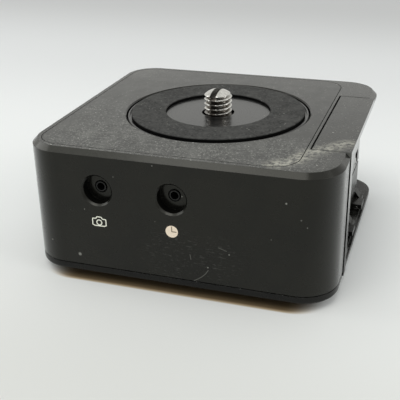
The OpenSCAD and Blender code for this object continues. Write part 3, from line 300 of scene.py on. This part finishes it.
def black_shell(name, marks=None, sheen=None):
    """Bead-blasted black metal: fine grain, uneven sheen, worn edges, dust and a painted sheen on the front
    chamfer.
    """
    f = Finish(name, (0.005, 0.005, 0.0046), 0.26, sheen or BLACK_SHEEN)
    edge = f.soft_edges(0.22)
    cloud = f.noise(14, 4, 0.6, seed=1)
    f.colour = f.tint(f.span(cloud, 0.35, 0.65), (0.0042, 0.0042, 0.004), (0.0064, 0.0062, 0.0052))
    f.roughness = f.span(f.noise(6, 5, 0.7, seed=2), 0.3, 0.7, 0.23, 0.29)
    f.bump(f.noise(0.16, 2, 0.5), 0.004)
    wear = f.times(edge, f.span(f.noise(2.4, 4, 0.7, seed=8), 0.4, 0.62))
    f.paint(f.times(wear, 0.3), (0.11, 0.11, 0.1), 0.36)
    slope = f.axis("Z", f.facing)
    chamfer = f.times(f.span(slope, 0.4, 0.65), f.span(slope, 0.9, 0.75))
    # The front chamfer gets a paler film, partly dust and partly a painted sheen, strongest on the left
    # half and fading to the right.
    film = f.times(f.span(f.axis("X"), 0, 40, 0.055, 0.012), f.span(f.axis("Y", f.facing), -0.3, -0.6))
    f.paint(f.times(chamfer, film), DUST, 0.4)
    lay_top_dust(f)
    if marks:
        marks(f)
    f.paint(f.times(f.specks(2.6, 0.1, 12, 0.12), 0.4), DUST, 0.8)
    return f.done()


JACK_X = (-24.6, -0.2)
JACK_Z = 32.2
JACK_RECESS_R = 4.7
JACK_RECESS_D = 3.6
# Marks on the front face by their x and z: a curved scratch, two straight ones, grains with their radius
CURVED_SCRATCH = [(6.4, 5.4), (7.9, 6.3), (9.2, 7.3), (10.4, 8.5), (11.3, 9.9)]
UPRIGHT_SCRATCH = [(5.5, 14.6), (5.8, 12.9)]
LEVEL_SCRATCH = [(14.6, 18.3), (17.2, 17.5)]
GRAINS = [(-32.2, 8.9, 0.24), (11.2, 10.9, 0.1), (34.9, 35.6, 0.13), (39.4, 30.8, 0.1), (18, 16.4, 0.1)]


def on_front(x, z):
    return (x, FRONT_Y, z)


def scratch(f, path, radius, fade):
    """Fine line along a path on the front face."""
    return f.most(*[f.along(on_front(*a), on_front(*b), radius, fade) for a, b in zip(path, path[1:])])


def housing_marks(f):
    """Painted shade in the jack recesses; scuffs, a curved scratch and stray grains on the front face."""
    flat = f.vector("MULTIPLY", f.place, (1, 0, 1))
    reach = [f.vector("DISTANCE", flat, (x, 0, JACK_Z)) for x in JACK_X]
    painted_recess_shade = f.most(*[f.span(r, JACK_RECESS_R + 0.5, JACK_RECESS_R + 0.3) for r in reach])
    painted_shade_walls = f.span(f.axis("Y", f.facing), -0.85, -0.4)
    depth = f.axis("Y")
    bottom = FRONT_Y + JACK_RECESS_D
    behind_mouth = f.span(depth, FRONT_Y + 0.15, FRONT_Y + 0.7)
    before_bottom = f.span(depth, bottom + 1.0, bottom + 0.4)
    painted_recess_shade = f.times(painted_recess_shade, painted_shade_walls, behind_mouth, before_bottom)
    # Painted shade: the jack recesses' side walls are painted near black and dull.
    f.paint(painted_recess_shade, (0.0012, 0.0012, 0.0012), 0.6)
    f.put(f.shader, "Coat Weight", f.blend(painted_recess_shade, BLACK_SHEEN["Coat Weight"], 0.0))
    ahead = f.span(f.axis("Y", f.facing), -0.5, -0.9)
    field = f.most(f.near(on_front(0, 13.5), 4, 10), f.near(on_front(14, 14), 2, 9))
    hairs = f.span(f.noise(0.5, 3, 0.6, stretch=(0.25, 1, 1.1), seed=14), 0.56, 0.66)
    f.paint(f.times(ahead, field, hairs, 0.2), (0.16, 0.16, 0.15), 0.5)
    lines = f.most(
        scratch(f, CURVED_SCRATCH, 0.03, 0.16),
        scratch(f, UPRIGHT_SCRATCH, 0.04, 0.14),
        scratch(f, LEVEL_SCRATCH, 0.02, 0.14))
    f.paint(f.times(ahead, lines, 0.3), (0.3, 0.3, 0.27), 0.5)
    grains = [f.near(on_front(x, z), r, 2.2 * r) for x, z, r in GRAINS]
    f.paint(f.times(ahead, f.most(*grains), 0.42), DUST, 0.8)


# Heights between which the bracket's plate turns from dull to smooth, and its flange's edge, with a painted
# highlight, begins
PLATE_SMOOTH_Z = (16, 34)
FLANGE_EDGE_Z = (41.5, 43)


def bracket_marks(f):
    """Upper part rubbed smooth, dull lower part, a painted highlight at the flange's front corner."""
    height = f.axis("Z")
    high = f.span(height, *PLATE_SMOOTH_Z)
    side = f.span(f.axis("X", f.facing), 0.7, 0.95)
    f.roughness = f.blend(f.times(high, side), f.roughness, 0.1)
    f.put(f.shader, "Coat Weight", f.span(height, *PLATE_SMOOTH_Z, 0.05, 0.65))
    smooth_level = BLACK_SHEEN["Specular IOR Level"]
    f.put(f.shader, "Specular IOR Level", f.span(height, *PLATE_SMOOTH_Z, 0.12, smooth_level))
    # Painted highlight: front-facing faces at the flange's edge are painted paler.
    ahead = f.span(f.axis("Y", f.facing), -0.5, -0.9)
    f.paint(f.times(ahead, f.span(height, *FLANGE_EDGE_Z)), (0.13, 0.13, 0.12), 0.4)


def panel_black(name):
    """The inset panel: the shell's finish, a little rougher and with more dust."""
    f = Finish(name, (0.006, 0.006, 0.0055), 0.34, BLACK_SHEEN)
    edge = f.soft_edges(0.15)
    cloud = f.span(f.noise(18, 4, 0.6, seed=21), 0.35, 0.65)
    f.colour = f.tint(cloud, (0.005, 0.005, 0.0047), (0.0075, 0.0074, 0.0064))
    f.roughness = f.span(f.noise(7, 5, 0.7, seed=22), 0.3, 0.7, 0.3, 0.38)
    f.bump(f.noise(0.16, 2, 0.5), 0.004)
    f.paint(f.times(edge, 0.25), (0.12, 0.12, 0.11), 0.35)
    lay_top_dust(f, 1.15)
    return f.done()


def platter_metal(name):
    """Turned platter: satin black with fine rings about the axis."""
    f = Finish(name, (0.006, 0.006, 0.0058), 0.3, PLATTER_SHEEN)
    edge = f.soft_edges(0.12)
    turns = f.math("MULTIPLY", f.axis_distance(), 9.0)
    lathe_marks = {"W": turns, "Scale": 1.0, "Detail": 3.0}
    rings = f.add("ShaderNodeTexNoise", lathe_marks, noise_dimensions="1D").outputs[0]
    cloud = f.span(f.noise(6, 4, 0.6, seed=31), 0.35, 0.65)
    f.colour = f.tint(cloud, (0.005, 0.005, 0.0048), (0.0072, 0.0072, 0.0068))
    f.roughness = f.span(rings, 0.3, 0.7, 0.27, 0.34)
    f.bump(rings, 0.0012)
    f.paint(f.times(edge, 0.3), (0.13, 0.13, 0.12), 0.3)
    f.paint(f.times(f.specks(1.5, 0.07, 33, 0.16), 0.6), PALE_DUST, 0.8)
    return f.done()


def grip_rubber(name):
    """Rubber with a pebbled skin that holds dust in its hollows, and painted shade on its side walls."""
    f = Finish(name, (0.012, 0.012, 0.0115), 0.72)
    f.soft_edges(0.2)
    pebble = f.noise(0.85, 4, 0.7, seed=41)
    f.colour = f.tint(f.span(pebble, 0.35, 0.65), (0.006, 0.006, 0.0056), (0.048, 0.048, 0.045))
    f.roughness = f.span(f.noise(3, 4, 0.6, seed=42), 0.3, 0.7, 0.62, 0.82)
    f.bump(pebble, 0.05)
    patches = f.span(f.noise(4, 4, 0.65, seed=43), 0.48, 0.72)
    f.paint(f.times(patches, f.span(pebble, 0.55, 0.4), 0.12), DUST, 0.85)
    f.paint(f.times(f.specks(1.0, 0.35, 45, 0.34), 0.2), DUST, 0.85)
    f.paint(f.times(f.specks(0.9, 0.12, 44, 0.3), 0.5), DUST, 0.85)
    # Painted shade: faces that don't look up, the ring's side walls, are painted near black.
    painted_shade_walls = f.span(f.axis("Z", f.facing), 0.85, 0.4)
    f.paint(painted_shade_walls, (0.0025, 0.0025, 0.0025), 0.9)
    f.put(f.shader, "Specular IOR Level", f.blend(painted_shade_walls, 0.4, 0.08))
    return f.done()


MOTTLE = 2.0


def metal(name, colour, dark, roughness, hairline):
    """Machined metal with a mottled sheen and hairline scratches of that depth."""
    f = Finish(name, colour, roughness, {"Metallic": 1.0})
    f.soft_edges(0.08)
    cloud = f.noise(MOTTLE, 5, 0.65, seed=51)
    f.colour = f.tint(f.span(cloud, 0.35, 0.7), dark, colour)
    f.roughness = f.span(f.noise(MOTTLE / 3, 4, 0.6, seed=52), 0.3, 0.7, 0.75 * roughness, 1.3 * roughness)
    f.bump(f.noise(0.2, 2, 0.5, stretch=(1, 1, 5), seed=53), hairline)
    return f.done()


SLOT_W = 2.2
SLOT_TURN = -8
# Heights over which painted shade fades at the thread's upper end, its foot and inside the coin slot
VALLEY_Z = (51.0, 50.2)
FOOT_Z = (46.2, 44.2)
SLOT_Z = (52.4, 51.0)


def thread_chrome(name):
    """Bright screw metal with painted shade in the thread's valleys, down in its hole and in its coin slot.
    """
    f = Finish(name, (0.78, 0.77, 0.74), 0.16, {"Metallic": 1.0})
    f.soft_edges(0.06)
    cloud = f.span(f.noise(1.2, 5, 0.65, seed=55), 0.35, 0.7)
    f.colour = f.tint(cloud, (0.64, 0.63, 0.6), (0.8, 0.79, 0.76))
    f.roughness = f.span(f.noise(0.5, 4, 0.6, seed=56), 0.3, 0.7, 0.12, 0.22)
    f.bump(f.noise(0.2, 2, 0.5, stretch=(1, 1, 5), seed=57), 0.003)
    height = f.axis("Z")
    # Painted shade: the thread's valleys are darkened brown.
    valley_painted_shade = f.times(f.span(f.axis_distance(), 4.55, 4.1), f.span(height, *VALLEY_Z))
    valley_shade_strength = f.span(f.noise(0.8, 3, seed=58), 0.3, 0.6, 0.55, 0.9)
    f.paint(f.times(valley_painted_shade, valley_shade_strength), (0.09, 0.07, 0.045), 0.3)
    # Painted shade: the screw darkens towards its foot in the hole.
    f.paint(f.span(height, *FOOT_Z, 0.0, 0.85), (0.07, 0.06, 0.05), 0.35)
    # Painted shade inside the coin slot.
    turn = math.radians(SLOT_TURN)
    aside = f.math("ABSOLUTE", f.vector("DOT_PRODUCT", f.place, (math.cos(turn), math.sin(turn), 0)))
    slot = f.times(f.span(aside, SLOT_W / 2 + 0.06, SLOT_W / 2 + 0.01), f.span(height, *SLOT_Z))
    f.paint(f.times(slot, 0.85), (0.06, 0.05, 0.04), 0.35)
    return f.done()


def plastic(name, colour, roughness):
    """Moulded plastic with a fine spark-eroded texture."""
    f = Finish(name, colour, roughness)
    f.soft_edges(0.1)
    shade = tuple(0.72 * c for c in colour)
    f.colour = f.tint(f.span(f.noise(3, 4, 0.6, seed=61), 0.35, 0.65), shade, colour)
    f.roughness = f.span(f.noise(1.2, 4, 0.6, seed=62), 0.3, 0.7, 0.85 * roughness, 1.15 * roughness)
    f.bump(f.noise(0.12, 2, 0.5, seed=63), 0.006)
    return f.done()


def circuit_board(name):
    """Solder mask over copper tracks, with bare tinned pads."""
    f = Finish(name, (0.012, 0.09, 0.045), 0.34)
    tracks = f.add("ShaderNodeTexBrick", {
        "Vector": f.add("ShaderNodeCombineXYZ", {0: f.axis("X"), 1: f.axis("Z")}).outputs[0],
        "Scale": 0.45, "Mortar Size": 0.06, "Brick Width": 0.9, "Row Height": 0.5}).outputs["Fac"]
    f.colour = f.tint(f.span(f.noise(5, 3, seed=71), 0.3, 0.7), (0.009, 0.07, 0.036), (0.014, 0.1, 0.05))
    f.paint(f.times(tracks, 0.55), (0.03, 0.19, 0.09))
    f.bump(tracks, 0.03)
    f.paint(f.specks(2.4, 0.3, 72, 0.24), (0.55, 0.54, 0.5), 0.28)
    return f.done()


def cell_wrap(name):
    """Shrink wrap with faint creases."""
    f = Finish(name, (0.3, 0.34, 0.4), 0.3)
    creases = f.noise(3, 4, 0.6, stretch=(1, 0.3, 1), seed=81)
    f.colour = f.tint(f.span(creases, 0.35, 0.65), (0.25, 0.285, 0.34), (0.33, 0.37, 0.43))
    f.roughness = f.span(creases, 0.3, 0.7, 0.24, 0.4)
    f.bump(creases, 0.12)
    return f.done()


def light_pipe(name):
    """Milky clear plastic."""
    f = Finish(name, (0.75, 0.8, 0.76), 0.2, {"Transmission Weight": 0.6, "IOR": 1.49})
    f.colour = f.tint(f.span(f.noise(0.8, 3, seed=91), 0.3, 0.7), (0.68, 0.74, 0.69), (0.8, 0.84, 0.8))
    f.roughness = f.span(f.noise(0.5, 3, seed=92), 0.3, 0.7, 0.16, 0.28)
    return f.done()


def ink(name, colour):
    """Printed ink, slightly rubbed away."""
    f = Finish(name, colour, 0.6)
    rubbed = f.span(f.noise(0.35, 4, 0.7, seed=95), 0.56, 0.74)
    f.colour = f.tint(f.times(rubbed, 0.55), colour, tuple(0.45 * c for c in colour))
    f.roughness = f.span(f.noise(0.3, 3, seed=96), 0.3, 0.7, 0.52, 0.7)
    return f.done()


SLOT_FINISHES = {
    "black_metal": black_shell("shell_black"),
    "panel_metal": panel_black("panel_black"),
    "grip_rubber": grip_rubber("grip_rubber"),
    "bright_steel": metal("bright_steel", (0.62, 0.62, 0.6), (0.46, 0.46, 0.45), 0.22, 0.002),
    "dark_steel": metal("dark_steel", (0.16, 0.16, 0.17), (0.09, 0.09, 0.1), 0.34, 0.003),
    "bronze": metal("bronze", (0.58, 0.38, 0.17), (0.4, 0.25, 0.1), 0.28, 0.003),
    "black_plastic": plastic("black_plastic", (0.006, 0.006, 0.0058), 0.42),
    "board_green": circuit_board("board_green"),
    "cell_wrap": cell_wrap("cell_wrap"),
    "light_pipe": light_pipe("light_pipe"),
}
NODE_FINISHES = {
    "housing": black_shell("housing_black", housing_marks),
    "alignment_bracket": black_shell("bracket_black", bracket_marks),
    "base_plate": black_shell("base_black", sheen=BASE_SHEEN),
    "platter": platter_metal("platter_black"),
}
SCREW_CHROME = thread_chrome("screw_chrome")
PICTOGRAM_INK = ink("pictogram_ink", (0.9, 0.9, 0.78))
CLOCK_INK = ink("clock_ink", (0.92, 0.78, 0.62))
HAND_INK = ink("hand_ink", (0.2, 0.15, 0.1))

for node_name, node in frame["nodes"].items():
    slot_name = node.material_slots[0].material.name.split(".")[0]
    node.material_slots[0].material = NODE_FINISHES.get(node_name, SLOT_FINISHES[slot_name])


# New pieces

def add_shape(name, bm, finishes=()):
    """Adds a shape built in millimetres."""
    mesh = bpy.data.meshes.new(name)
    bm.to_mesh(mesh)
    bm.free()
    mesh.transform(Matrix.Scale(MM, 4))
    for finish in finishes:
        mesh.materials.append(finish)
    obj = bpy.data.objects.new(name, mesh)
    scene.collection.objects.link(obj)
    return obj


def piece(name, bm, finishes, body):
    """Adds a piece of the part to the body that it moves with."""
    bmesh.ops.recalc_face_normals(bm, faces=bm.faces)
    obj = add_shape(name, bm, finishes)
    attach(obj, body)
    return obj


def smooth(obj, angle):
    """Smooth shading that keeps edges sharper than the angle, in degrees."""
    mesh = obj.data
    mesh.polygons.foreach_set("use_smooth", [True] * len(mesh.polygons))
    mesh.set_sharp_from_angle(angle=math.radians(angle))


THREAD_PITCH = 1.5875
THREAD_MAJOR_R = 4.7625
THREAD_MINOR_R = 3.9
THREAD_STEP = THREAD_PITCH / 14
THREAD_SEGMENTS = 72
THREAD_SHARP_ANGLE = 32


def thread_radius(height, turn):
    """Radius of a 3/8 inch thread at a height and at a share of a turn."""
    phase = (height / THREAD_PITCH - turn) % 1.0
    rise = abs(2 * phase - 1)
    share = min(max((0.86 - rise) / 0.7, 0.0), 1.0)
    return THREAD_MINOR_R + (THREAD_MAJOR_R - THREAD_MINOR_R) * share


def lathe(start, rows, end):
    """Closed solid about the Z axis, from an axis point over rows of (height, radius) to an axis point.
    A radius is a number or a function of the share of a turn."""
    bm = bmesh.new()
    first = bm.verts.new((0, 0, start))
    last = bm.verts.new((0, 0, end))
    rings = []
    for height, radius in rows:
        ring = []
        for i in range(THREAD_SEGMENTS):
            turn = i / THREAD_SEGMENTS
            r = radius(turn) if callable(radius) else radius
            a = 2 * math.pi * turn
            ring.append(bm.verts.new((r * math.cos(a), r * math.sin(a), height)))
        rings.append(ring)
    for i in range(THREAD_SEGMENTS):
        n = (i + 1) % THREAD_SEGMENTS
        bm.faces.new((first, rings[0][i], rings[0][n]))
        bm.faces.new((last, rings[-1][n], rings[-1][i]))
        for low, high in zip(rings, rings[1:]):
            bm.faces.new((low[i], low[n], high[n], high[i]))
    return bm


SCREW_FOOT = 29.0
SCREW_SHOULDER = (5.1625, 41.5)
SCREW_TIP_Z = 52.75
SCREW_DOME = 2.0
SLOT_D = 2.2


def camera_screw():
    """Camera screw with its thread, domed tip and coin slot."""
    dome_r = (THREAD_MAJOR_R ** 2 + SCREW_DOME ** 2) / (2 * SCREW_DOME)

    def row(height):
        rise = max(0.0, height - SCREW_TIP_Z + dome_r)
        limit = math.sqrt(max(dome_r ** 2 - rise ** 2, 0.01))
        return lambda turn: min(thread_radius(height, turn), limit)

    shoulder_r, shoulder_z = SCREW_SHOULDER
    rows = [(SCREW_FOOT, shoulder_r), (shoulder_z, shoulder_r), (shoulder_z, THREAD_MINOR_R)]
    count = int((SCREW_TIP_Z - shoulder_z) / THREAD_STEP)
    heights = [SCREW_TIP_Z - i * THREAD_STEP for i in range(count, 0, -1)]
    rows += [(height, row(height)) for height in heights]
    solid = lathe(SCREW_FOOT, rows, SCREW_TIP_Z)
    obj = piece("camera_screw_threaded", solid, [SCREW_CHROME], "turntable")
    turned = Matrix.Rotation(math.radians(SLOT_TURN), 4, "Z")
    lifted = Matrix.Translation((0, 0, SCREW_TIP_Z))
    sized = Matrix.Diagonal((SLOT_W, 4 * THREAD_MAJOR_R, 2 * SLOT_D, 1))
    bar = bmesh.new()
    bmesh.ops.create_cube(bar, size=1, matrix=turned @ lifted @ sized)
    cutter = add_shape("slot_cutter", bar)
    cut = obj.modifiers.new("slot", "BOOLEAN")
    cut.object = cutter
    cut.operation = "DIFFERENCE"
    cut.solver = "EXACT"
    shape = bpy.data.meshes.new_from_object(obj.evaluated_get(bpy.context.evaluated_depsgraph_get()))
    obj.modifiers.clear()
    obj.data = shape
    bpy.data.objects.remove(cutter)
    smooth(obj, THREAD_SHARP_ANGLE)
    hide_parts("camera_screw")


BUSH_R = 7.5
BUSH_FLANGE_R = 10.0
BUSH_BASE_Z = 4.5
BUSH_CEILING_Z = 6.5
BUSH_TOP_Z = 7.9
BUSH_BORE_R = 4.0
BUSH_MOUTH_D = 0.8
BUSH_CHAMFER = 0.3


def tripod_bush():
    """Tripod bush with its inner thread."""
    def row(height):
        mouth = max(0.0, BUSH_MOUTH_D - height)
        widest = THREAD_MAJOR_R + BUSH_BORE_R
        return lambda turn: widest - max(thread_radius(height, turn), BUSH_BORE_R) + 0.5 * mouth

    heights = [BUSH_CEILING_Z - i * THREAD_STEP for i in range(int(BUSH_CEILING_Z / THREAD_STEP))]
    rows = [(height, row(height)) for height in heights + [0.0]]
    rows += [
        (0.0, BUSH_R - BUSH_CHAMFER),
        (BUSH_CHAMFER, BUSH_R),
        (BUSH_BASE_Z, BUSH_R),
        (BUSH_BASE_Z, BUSH_FLANGE_R),
        (BUSH_CEILING_Z, BUSH_FLANGE_R),
        (BUSH_TOP_Z, BUSH_R),
    ]
    solid = lathe(BUSH_CEILING_Z, rows, BUSH_TOP_Z)
    obj = piece("tripod_bush_threaded", solid, [SLOT_FINISHES["bronze"]], "body")
    smooth(obj, THREAD_SHARP_ANGLE)
    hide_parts("tripod_bush")


INK_PROUD = 0.01
INK_DEPTH = 0.05
INK_LINE = 0.34
CAMERA_SIGN = (-24.4, 21.7)
CAMERA_OUTLINE = [
    (-2.29, -1.54), (2.29, -1.54), (2.29, 0.88), (1.15, 0.88),
    (0.72, 1.54), (-0.72, 1.54), (-1.15, 0.88), (-2.29, 0.88)]
LENS_Z = -0.36
LENS_R = 0.86
CLOCK_SIGN = (-0.2, 21.6)
CLOCK_R = 2.0
HAND_HALF_W = 0.15
HOUR_HAND = 1.55
MINUTE_HAND = 1.75


def cornered(points, share):
    """Closed outline with its corners cut off, by a share of each side."""
    cut = []
    for a, b in zip(points, points[1:] + points[:1]):
        cut.append((a[0] + share * (b[0] - a[0]), a[1] + share * (b[1] - a[1])))
        cut.append((b[0] + share * (a[0] - b[0]), b[1] + share * (a[1] - b[1])))
    return cut


def circle(x, z, r, count=48):
    angles = [2 * math.pi * i / count for i in range(count)]
    return [(x + r * math.cos(a), z + r * math.sin(a)) for a in angles]


def offset(points, distance):
    """Outline moved sideways by a distance, with mitred corners."""
    moved = []
    for before, here, after in zip(points[-1:] + points[:-1], points, points[1:] + points[:1]):
        a = Vector((here[0] - before[0], here[1] - before[1])).normalized()
        b = Vector((after[0] - here[0], after[1] - here[1])).normalized()
        normal = Vector((a.y + b.y, -a.x - b.x)).normalized()
        reach = distance / max(0.4, normal.dot(Vector((a.y, -a.x))))
        moved.append((here[0] + reach * normal.x, here[1] + reach * normal.y))
    return moved


def loop_at(bm, middle, points, y):
    """Corners of an outline about a middle (x, z), at one depth."""
    return [bm.verts.new((middle[0] + p[0], y, middle[1] + p[1])) for p in points]


def ink_ring(bm, middle, points):
    """Printed closed line, standing just proud of the front face."""
    front = FRONT_Y - INK_PROUD
    back = FRONT_Y + INK_DEPTH
    outer = offset(points, INK_LINE / 2)
    inner = offset(points, -INK_LINE / 2)
    edges = [(outer, front), (inner, front), (inner, back), (outer, back)]
    loops = [loop_at(bm, middle, edge, y) for edge, y in edges]
    count = len(points)
    for a, b in zip(loops, loops[1:] + loops[:1]):
        for i in range(count):
            n = (i + 1) % count
            bm.faces.new((a[i], a[n], b[n], b[i]))


def ink_plate(bm, middle, points, proud, material=0):
    """Printed filled shape on the front face."""
    front = loop_at(bm, middle, points, FRONT_Y - proud)
    back = loop_at(bm, middle, points, FRONT_Y + INK_DEPTH)
    faces = [bm.faces.new(front), bm.faces.new(back)]
    for i in range(len(points)):
        n = (i + 1) % len(points)
        faces.append(bm.faces.new((front[i], front[n], back[n], back[i])))
    for face in faces:
        face.material_index = material


def pictograms():
    """A camera sign under the left jack and a clock sign under the right one."""
    bm = bmesh.new()
    ink_ring(bm, CAMERA_SIGN, cornered(CAMERA_OUTLINE, 0.13))
    ink_ring(bm, CAMERA_SIGN, circle(0, LENS_Z, LENS_R))
    piece("pictogram_camera", bm, [PICTOGRAM_INK], "body")
    bm = bmesh.new()
    ink_plate(bm, CLOCK_SIGN, circle(0, 0, CLOCK_R), INK_PROUD)
    half = HAND_HALF_W
    hands = [
        (-half, -half), (HOUR_HAND, -half), (HOUR_HAND, half),
        (half, half), (half, MINUTE_HAND), (-half, MINUTE_HAND)]
    ink_plate(bm, CLOCK_SIGN, hands, 1.8 * INK_PROUD, 1)
    piece("pictogram_clock", bm, [CLOCK_INK, HAND_INK], "body")


# Floor and light

FLOOR_SIZE = 3000
FLOOR_PALE = ((0.895, 0.9, 0.885), (0.92, 0.925, 0.91))
FLOOR_CLOUD = (0.76, 0.76, 0.74)
FLOOR_SHADE_BEHIND = (0.79, 0.79, 0.785)
FLOOR_SHADE_FAR = (0.62, 0.615, 0.61)
FLOOR_SHADE_AHEAD = (0.72, 0.72, 0.69)
SHADE_RIM = (0.45, 0.34, 0.21)
SHADE_CORE = (0.14, 0.1, 0.055)
FLOOR_SHADE_MIDDLE = (-0.4, 0.2, 0)
FLOOR_SHADE_ROUND = 14.0
FLOOR_SHADE_HALF = (50 - FLOOR_SHADE_ROUND, 48 - FLOOR_SHADE_ROUND, 1)


def floor():
    """Pale table, darkened by painted shade behind, ahead and far away, with a painted warm, darker contact
    shadow right under the base.
    """
    f = Finish("floor", (0.86, 0.86, 0.84), 0.6, {"Specular IOR Level": 0.2})
    f.colour = f.tint(f.span(f.noise(300, 2, seed=99), 0.3, 0.7), *FLOOR_PALE)
    f.paint(f.times(f.noise(40, 3, seed=98), 0.03), FLOOR_CLOUD)
    # Painted shade: the floor darkens behind the object and further away.
    f.paint(f.span(f.axis("Y"), 20, 240), FLOOR_SHADE_BEHIND)
    f.paint(f.span(f.axis("Y"), 220, 420), FLOOR_SHADE_FAR)
    # Painted shade on the floor ahead of the object.
    f.paint(f.span(f.axis("Y"), -10, -110), FLOOR_SHADE_AHEAD)
    reach = f.vector("ABSOLUTE", f.vector("SUBTRACT", f.place, FLOOR_SHADE_MIDDLE))
    reach = f.vector("MAXIMUM", f.vector("SUBTRACT", reach, FLOOR_SHADE_HALF), (0, 0, 0))
    gap = f.math("SUBTRACT", f.vector("LENGTH", reach), FLOOR_SHADE_ROUND)
    ahead = f.times(f.span(f.axis("Y"), -30, -44), f.span(f.math("ABSOLUTE", f.axis("X")), 47, 34))
    # Painted contact shadow: a warm rim and a darker core along the base's front edge.
    f.paint(f.times(ahead, f.span(gap, 1.7, 0.7)), SHADE_RIM)
    f.paint(f.times(ahead, f.span(gap, 1.0, -0.4)), SHADE_CORE)
    bm = bmesh.new()
    bmesh.ops.create_grid(bm, x_segments=1, y_segments=1, size=FLOOR_SIZE)
    obj = add_shape("floor", bm, [f.done()])


FILL_COLOUR = (0.965, 1, 1, 1)
FILL_STRENGTH = 0.68
ROOM_STRENGTH = 0.75
ROOM_PALE = (1, 1, 0.96, 1)
ROOM_DARK = (0.2, 0.2, 0.2, 1)
ROOM_DARK_FROM = -0.35
ROOM_DARK_FULL = -0.85
# Soft boxes: name, place and aim in metres, size, watts, colour
SOFTBOXES = [
    ("left", (-0.75, -0.05, 0.42), (-0.1, 0, 0), (0.5, 0.5), 1.3, (1, 1, 1)),
    ("right", (0.75, -0.1, 0.42), (0.1, 0, 0), (0.5, 0.5), 1.6, (1, 1, 1)),
    ("key", (-0.08, -0.37, 0.78), (0, 0, 0.03), (0.5, 0.45), 1.7, (1, 0.985, 0.955)),
]


def softbox(name, place, aim, size, watts, colour):
    data = bpy.data.lights.new(name, "AREA")
    data.shape = "RECTANGLE"
    data.size, data.size_y = size
    data.energy = watts
    data.color = colour
    obj = bpy.data.objects.new(name, data)
    scene.collection.objects.link(obj)
    obj.location = place
    obj.rotation_euler = (Vector(aim) - Vector(place)).to_track_quat("-Z", "Y").to_euler()


def studio():
    """White surroundings and soft boxes at a plain level. Only reflections show the darker room ahead."""
    world = bpy.data.worlds.new("studio")
    world.use_nodes = True
    tree = world.node_tree

    def joined(operation, first, second):
        node = tree.nodes.new("ShaderNodeMath")
        node.operation = operation
        tree.links.new(first, node.inputs[0])
        tree.links.new(second, node.inputs[1])
        return node.outputs[0]

    ray = tree.nodes.new("ShaderNodeLightPath").outputs
    seen = joined("MAXIMUM", ray["Is Camera Ray"], ray["Is Glossy Ray"])
    seen = joined("MAXIMUM", seen, ray["Is Transmission Ray"])
    fill = tree.nodes["Background"]
    fill.inputs["Color"].default_value = FILL_COLOUR
    fill.inputs["Strength"].default_value = FILL_STRENGTH
    view = tree.nodes.new("ShaderNodeTexCoord")
    axes = tree.nodes.new("ShaderNodeSeparateXYZ")
    tree.links.new(view.outputs["Generated"], axes.inputs[0])
    ahead = tree.nodes.new("ShaderNodeMapRange")
    ahead.interpolation_type = "SMOOTHSTEP"
    ahead.inputs["From Min"].default_value = ROOM_DARK_FROM
    ahead.inputs["From Max"].default_value = ROOM_DARK_FULL
    tree.links.new(axes.outputs["Y"], ahead.inputs["Value"])
    tone = tree.nodes.new("ShaderNodeMix")
    tone.data_type = "RGBA"
    tone.inputs[6].default_value = ROOM_PALE
    tone.inputs[7].default_value = ROOM_DARK
    tree.links.new(joined("MULTIPLY", ahead.outputs[0], ray["Is Glossy Ray"]), tone.inputs[0])
    room = tree.nodes.new("ShaderNodeBackground")
    room.inputs["Strength"].default_value = ROOM_STRENGTH
    tree.links.new(tone.outputs[2], room.inputs["Color"])
    mix = tree.nodes.new("ShaderNodeMixShader")
    tree.links.new(seen, mix.inputs[0])
    tree.links.new(fill.outputs[0], mix.inputs[1])
    tree.links.new(room.outputs[0], mix.inputs[2])
    tree.links.new(mix.outputs[0], tree.nodes["World Output"].inputs["Surface"])
    scene.world = world
    for box in SOFTBOXES:
        softbox(*box)


add_camera()
camera_screw()
tripod_bush()
pictograms()
floor()
studio()
